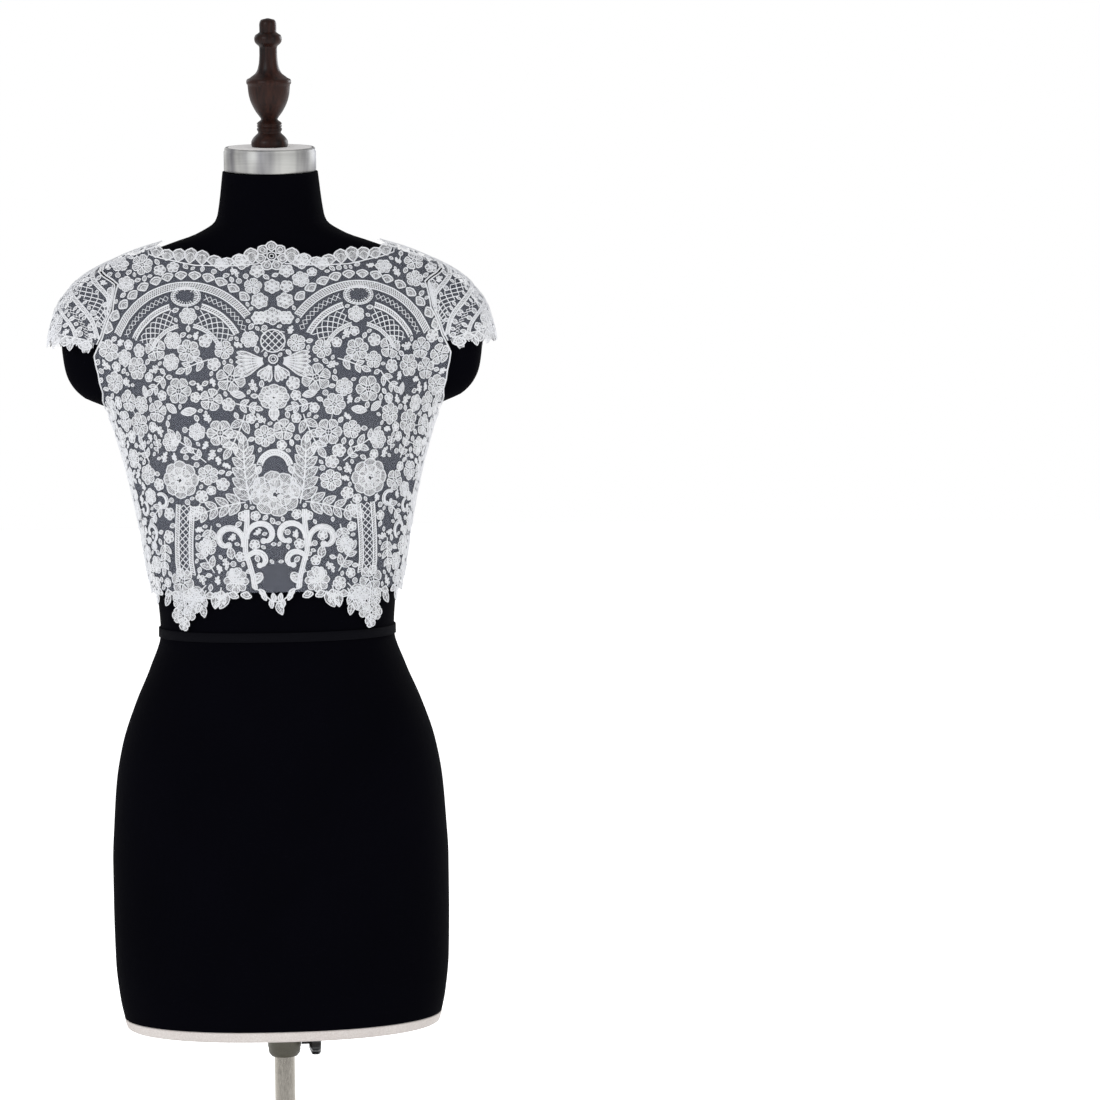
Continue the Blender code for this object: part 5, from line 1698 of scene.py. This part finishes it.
backLine = resample(backLine, 40)
sideArch, lowArch = (172, 692), (73, 571)
for name, side, seed in (("backLeft", 1, 31), ("backRight", -1, 32)):
    back = readied(panel(True, side), False)

    def at(x, height):
        return flatPlace(x, height, True)

    def arch(middle, radius, start, end, steps=12):
        return seen(back, arcOf(*middle, radius, start, end, steps))

    edgeShells(back, flatLine(backLine[4:-1], True), 11.5, 13.0, 0.2, 50.0, 0.8)
    draw(back, band(arch(sideArch, 72, 146, 206, 24), 5.6))
    draw(back, waves(arch(sideArch, 63.5, 160, 206), 5.2, 10.5, (0, 0.5)))
    draw(back, band(arch(sideArch, 55.5, 160, 206), 4.4))
    draw(back, lattice(arch(sideArch, 46, 160, 206), 12.0))
    lay(back, eyelet(22, 17, 5), at(121, 725), 20)
    draw(back, band(arch(lowArch, 74, 138, 64, 24), 5.8))
    draw(back, waves(arch(lowArch, 64, 132, 66), 5.2, 10.5, (0, 0.5)))
    draw(back, band(arch(lowArch, 55, 132, 64), 4.4))
    draw(back, lattice(arch(lowArch, 45, 128, 62), 13.0))
    draw(back, band(arch(lowArch, 36.5, 128, 62, 10), 2.6))
    lay(back, eyelet(15, 21, 6), at(24, 607), 10)
    for angle in range(130, 62, -9):
        place = complex(*lowArch) + 79.5 * np.exp(1j * math.radians(angle))
        lay(back, shell(11, 8.5), at(place.real, place.imag), angle - 90)
    draw(back, lattice(np.array([at(16, 580), at(30, 580), at(38, 579)]), 15.0, 6.5))
    for x, height, motif, turn in (
        (57, 688, ringFlower(15, 7), 10),
        (47, 668, ringFlower(9, 6), 0), (76, 704, flower(9, 6), 0), (70, 672, flower(9.5, 6), 20),
        (32, 655, flower(8, 5), 0),
        (84, 660, flower(10, 6), 10), (100, 617, flower(13.5, 6), 0), (72, 604, flower(9.5, 6), 30),
        (88, 596, flower(9, 5), 0),
        (128, 584, flower(12, 6), 10), (125, 650, flower(11.5, 6), 0), (140, 630, flower(11, 6), 40),
        (22, 633, ringFlower(7, 5), 0),
        (112, 551, rose(20), 0), (66, 487, rose(19), 10), (75, 452, flower(10, 6), 0),
        (114, 482, flower(11.5, 6), 0),
        (88, 536, spray(46, 4, 18, -22), 196), (90, 534, spray(40, 4, 15, -18), -52),
        (98, 506, spray(24, 2, 12, 20), -20),
        (66, 553, leaf(14, 10), 75), (90, 586, twig(15, 4, 9), 160), (126, 524, twig(14, 4, 4), -70),
        (50, 585, twig(13, 4, 6), 10),
        (90, 470, spray(26, 2, 13, 0), -60), (100, 496, leaf(14, 8), -70),
        (48, 470, spray(22, 2, 12, 0), -110),
        (128, 500, flower(10, 6), 0), (134, 548, flower(10, 6), 0), (34, 448, flower(10, 6), 15),
        (130, 455, flower(10, 5), 0),
    ):
        lay(back, motif, at(x, height), turn)
    lay(back, scroll(25, 150, -175, 6.0, 0.42), at(67, 557), loose=False)
    lay(back, scroll(12, -30, 250, 4.6), at(97, 577), loose=False)
    lay(back, scroll(11, 200, -60, 4.0), at(103, 446), loose=False)
    lay(back, scroll(9, 20, 280, 3.6), at(122, 436), loose=False)
    for height, turn, wide in (
        (592, -8, 11), (560, 12, 12), (546, -12, 12), (531, 4, 13), (517, -18, 13), (503, 14, 12),
        (489, -6, 13), (474, 10, 12),
        (460, -14, 12), (446, 6, 12), (434, -10, 11),
    ):
        lay(back, petal(0.0, 15 + 0j, wide, 1.5, 0.45), complex(8.5, height), turn)
        lay(back, ringFlower(5.2, 5), complex(26, height + 6), 0)
    hemLine = np.array([complex(across, cloth["hem"]) for across in np.arange(10, 170, 2.0)])
    for k in range(1, len(hemLine) - 3, 6):
        lay(back, shell(10, 7), hemLine[k] + 1j * shiver.uniform(0, 3), 180 + shiver.uniform(-20, 20))
    for x, height, motif, turn in (
        (58, 421, flower(8, 5), 0), (68, 414, flower(8, 5), 20), (78, 421, flower(8, 5), 40),
        (66, 428, flower(9, 6), 0),
        (52, 419, leaf(12, 7), -110), (84, 420, leaf(13, 7), -60), (66, 408, flower(7, 5), 30),
        (108, 420, leaf(12, 7), -100),
    ):
        lay(back, motif, at(x, height), turn)
    armhole = back["seam"][back["seam"].imag > cloth["underarm"] + 12]
    draw(back, [cordOf(offsetPath(armhole, 0.9), 1.6, 0.1)])
    bare = [(at(x, height), reach) for x, height, reach in (
        (121, 725, 7), (24, 607, 6), (37, 590, 7), (36, 572, 8), (35, 553, 9), (36, 533, 9), (37, 515, 7),
        (107, 583, 8), (64, 528, 6),
        (51, 574, 6), (125, 512, 7), (67, 557, 11), (92, 440, 6), (60, 600, 4), (54, 658, 4), (112, 640, 5),
        (47, 690, 5),
    )]
    bare += [(at(98, 452), 11), (at(78, 596), 8)] if side < 0 else [(at(106, 596), 6), (at(90, 505), 5)]
    scatter(back, fillers, seed, 1, bare)
    cording, stitching = cordMesh(name + "Cording", back), fillMesh(name + "Stitching", back)
    word = "left" if side > 0 else "right"
    dress(cording, "form", "white_lace", f"neck_lace_back_{word}", f"hem_lace_back_{word}",
        f"arch_back_{word}", f"scroll_back_{word}")
    roses = ("rose_back_2", "rose_back_4") if side > 0 else ("rose_back_1", "rose_back_3")
    dress(stitching, "form", "white_lace", f"spray_back_{word}", *roses)
print("back lace drawn")


# The sleeves' lace

for name, side, seed in (("leftSleeve", 1, 51), ("rightSleeve", -1, 52)):
    cap = readied(sleeve(side), False)
    wide, tall = alongSleeve[-1], upSleeve[-1]
    edgeShells(cap, np.linspace(wide - 6, 6, 40) + 0j, 11.0, 9.0, 0.3, 37.0)
    for start in np.arange(4.0, wide - 3.0, 1.3):  # loose thread ends along the free edge
        share = math.sin(math.pi * start / wide)
        reach, lean = shiver.uniform(4, 9) + 9 * share * shiver.random() ** 1.5, shiver.uniform(-0.25, 0.25)
        draw(cap, [cordOf([start + 3j, start + 0.4 * lean * reach - 0.5j * reach,
            start + lean * reach - 1j * reach], 0.55, 0.1)])
    for start in np.arange(12.0, wide - 8.0, 17.0):
        lay(cap, leaf(shiver.uniform(11, 15), 7), complex(start, 0), -90 + shiver.uniform(-35, 35))
    seamLine = np.array([0.7 + 2j, 0.7 + 1j * (tall - 0.7), complex(wide - 0.7, tall - 0.7),
        complex(wide - 0.7, 2)])
    draw(cap, [cordOf(even(seamLine, 3.0)[0], 1.3, 0.1)])
    middle = complex(wide / 2, -14)
    for radius, kind in ((tall * 0.98, "band"), (tall * 0.84, "lattice"), (tall * 0.70, "band"),
        (tall * 0.60, "waves"), (tall * 0.50, "thin")):
        path = middle + radius * 1.12 * np.exp(1j * np.radians(np.linspace(162, 18, 30)))
        if kind == "band":
            draw(cap, band(path, 4.6))
        elif kind == "lattice":
            draw(cap, lattice(path, tall * 0.17))
        elif kind == "waves":
            draw(cap, waves(path, 4.6, 10.0, (0, 0.5)))
        else:
            draw(cap, band(path, 3.0))
    lay(cap, eyelet(20, 12, 8), complex(wide / 2, tall * 0.24), 0)
    scatter(cap, fillers, seed, 1, [(complex(wide / 2, tall * 0.24), 10)])
    cording, stitching = cordMesh(name + "Cording", cap), fillMesh(name + "Stitching", cap)
    word = "left" if side > 0 else "right"
    dress(cording, "form", "white_lace", f"sleeve_lace_{word}")
    dress(stitching, "form", "white_lace")
print("sleeve lace drawn")


# The button strip and its buttons

closing = {"half": 7.0, "top": 648.0, "bottom": 425.5, "lift": 4.7, "wall": 0.5, "buttons": 14,
    "first": 630.0, "last": 428.5,
           "radius": 6.2, "rise": 3.3, "above": 0.3}

heights = np.linspace(closing["bottom"], closing["top"], 90)
turn, _ = slopesAt(179.0, heights)
reach = closing["half"] / np.linalg.norm(turn, axis=-1)
rows = []
for share in np.linspace(-1, 1, 9):
    angle = 180.0 - reach * abs(share)
    point, _ = lifted(angle, heights, np.full(len(heights), closing["lift"]))
    if share > 0:
        point = point * [-1, 1, 1]
    rows.append(point)
points = np.stack(rows, axis=1)
flat = np.stack(np.meshgrid(np.linspace(-closing["half"], closing["half"], 9), heights), axis=-1)
strip = tulleSheet("buttonStrip", points, flat, finishes["netting"], closing["wall"])
dress(strip, "form", "white_lace", "placket")

bpy.ops.object.select_all(action="DESELECT")
bpy.ops.mesh.primitive_uv_sphere_add(segments=32, ring_count=16, radius=closing["radius"] * mm)
pattern = bpy.context.object
bpy.ops.transform.resize(value=(1, 1, closing["rise"] / closing["radius"]))
bpy.ops.object.transform_apply(location=True, rotation=True, scale=True)
for corner in pattern.data.vertices:
    reach = math.hypot(corner.co.x, corner.co.y) / (closing["radius"] * mm)
    around = math.atan2(corner.co.y, corner.co.x)
    full = 1 + 0.16 * (1 - reach ** 4) * reach ** 2  # a flatter crown, as cloth pulled over a mould
    corner.co.z *= min(full, 1.12)
    if corner.co.z < 0:
        pleat = 1 - 0.05 * reach * abs(math.sin(9 * around))
        corner.co.x *= pleat
        corner.co.y *= pleat
buttonNames = []
for k in range(closing["buttons"]):
    height = closing["first"] + (closing["last"] - closing["first"]) * k / (closing["buttons"] - 1)
    point, outward = lifted(180.0, height, np.array(closing["lift"] + closing["above"] + closing["rise"]))
    button = bpy.data.objects.new(f"satinButton{k + 1:02d}", pattern.data.copy())
    button.data.name = button.name
    bpy.context.scene.collection.objects.link(button)
    facing = Vector(outward).to_track_quat("Z", "X").to_matrix().to_4x4()
    tilt = Matrix.Rotation(math.radians(float(shiver.uniform(0, 360))), 4, "Z")
    button.data.transform(Matrix.Translation(Vector(point)) @ facing @ tilt)
    button.data.materials.append(finishes["satin"])
    smooth(button, 60)
    dress(button, "form", "white_satin", f"button_{k + 1:02d}")
    buttonNames.append(button)
bpy.data.objects.remove(pattern)
print("closing built")

for piece, flatSize, area, extras in (
    (frontTulle, (0.44, 0.335), None, ["frontCording", "frontStitching"]),
    (backLeftTulle, (0.20, 0.335), None, ["backLeftCording", "backLeftStitching"]),
    (backRightTulle, (0.20, 0.335), None, ["backRightCording", "backRightStitching"]),
    (leftSleeveTulle, (0.170, 0.105), 0.0125, ["leftSleeveCording", "leftSleeveStitching"]),
    (rightSleeveTulle, (0.170, 0.105), 0.0125, ["rightSleeveCording", "rightSleeveStitching"]),
    (strip, (0.014, 0.2225), None, []),
):
    extras = [bpy.data.objects[name] for name in extras] + (buttonNames if piece is strip else [])
    surface = sum(face.area for face in piece.data.polygons) / 2
    print(piece.name, "cloth area", round(surface, 4), "of", round(flatSize[0] * flatSize[1], 4))
for piece in bpy.data.objects:
    if piece.type == "MESH" and len(piece.data.polygons) > 4000:
        print(piece.name, sum(len(face.vertices) - 2 for face in piece.data.polygons), "triangles")


# Camera, light and floor

view = {"distance": 3.5, "height": 1.152, "pitch": -4.20, "yaw": 4.41, "roll": -0.62, "focal": 3557.0,
    "frame": 1100.0}

lens = bpy.data.cameras.new("camera")
lens.sensor_width = 36.0
lens.lens = 36.0 * view["focal"] / view["frame"]
lens.clip_end = 100.0
camera = bpy.data.objects.new("camera", lens)
bpy.context.scene.collection.objects.link(camera)
aim = Matrix.Rotation(math.radians(-view["yaw"]), 4,
    "Z") @ Matrix.Rotation(math.radians(90 + view["pitch"]), 4, "X")
camera.matrix_world = Matrix.Translation((0, -view["distance"], view["height"])) @ aim @ Matrix.Rotation(
    math.radians(view["roll"]), 4, "Z")
bpy.context.scene.camera = camera

lights = (  # name, place, what it faces, size, strength
    ("keyLight", (-2.2, -3.0, 2.6), (0, 0, 1.0), 1.2, 46.0),
    ("fillLight", (2.4, -2.6, 2.0), (0, 0, 1.0), 1.6, 16.0),
    ("backLeftLight", (-2.2, 3.0, 2.6), (0, 0, 1.0), 1.6, 16.0),
    ("backRightLight", (2.4, 2.6, 2.0), (0, 0, 1.0), 1.2, 40.0),
)
for name, place, target, size, strength in lights:
    lamp = bpy.data.lights.new(name, "AREA")
    lamp.size = size
    lamp.energy = strength
    lamp.color = (0.93, 0.96, 1.0)
    holder = bpy.data.objects.new(name, lamp)
    bpy.context.scene.collection.objects.link(holder)
    facing = (Vector(target) - Vector(place)).to_track_quat("-Z", "Y")
    holder.matrix_world = Matrix.Translation(place) @ facing.to_matrix().to_4x4()

world = bpy.data.worlds.new("studio")
world.use_nodes = True
sky = world.node_tree.nodes["Background"]
sky.inputs["Color"].default_value = (1, 1, 1, 1)
seenRay = node(world.node_tree, "ShaderNodeLightPath").outputs["Is Camera Ray"]
# lights less than it shows
brightness = node(world.node_tree, "ShaderNodeMapRange", {0: seenRay, 3: 0.62, 4: 1.0})
world.node_tree.links.new(brightness.outputs[0], sky.inputs["Strength"])
bpy.context.scene.world = world
bpy.context.scene.view_settings.view_transform = "Standard"

bpy.ops.object.select_all(action="DESELECT")
bpy.ops.mesh.primitive_circle_add(vertices=96, radius=14, fill_type="NGON")
floor = bpy.context.object
floor.name = "floor"
floorFinish, tree, shader = finishNamed("pale_floor", (0.88, 0.88, 0.88), 0.9)
where = objectPlace(tree)
cloud = noiseAt(tree, where, 2.0, 2.0)
tree.links.new(mixOf(tree, cloud, (0.86, 0.86, 0.86), (0.90, 0.90, 0.90)), shader.inputs["Base Color"])
# painted light: the floor glows more the farther it lies from the middle, so the far floor reads white
far = node(tree, "ShaderNodeVectorMath", {0: where}, operation="LENGTH").outputs["Value"]
glow = ramped(tree, far, {1: 0.5, 2: 1.5, 3: 0.12, 4: 0.75}, interpolation_type="SMOOTHSTEP")
floorGlowColour = node(tree, "ShaderNodeCombineXYZ", {0: glow, 1: glow, 2: glow}).outputs[0]
tree.links.new(floorGlowColour, shader.inputs["Emission Color"])
shader.inputs["Emission Strength"].default_value = 1.0
floor.data.materials.append(floorFinish)

bpy.context.view_layer.update()
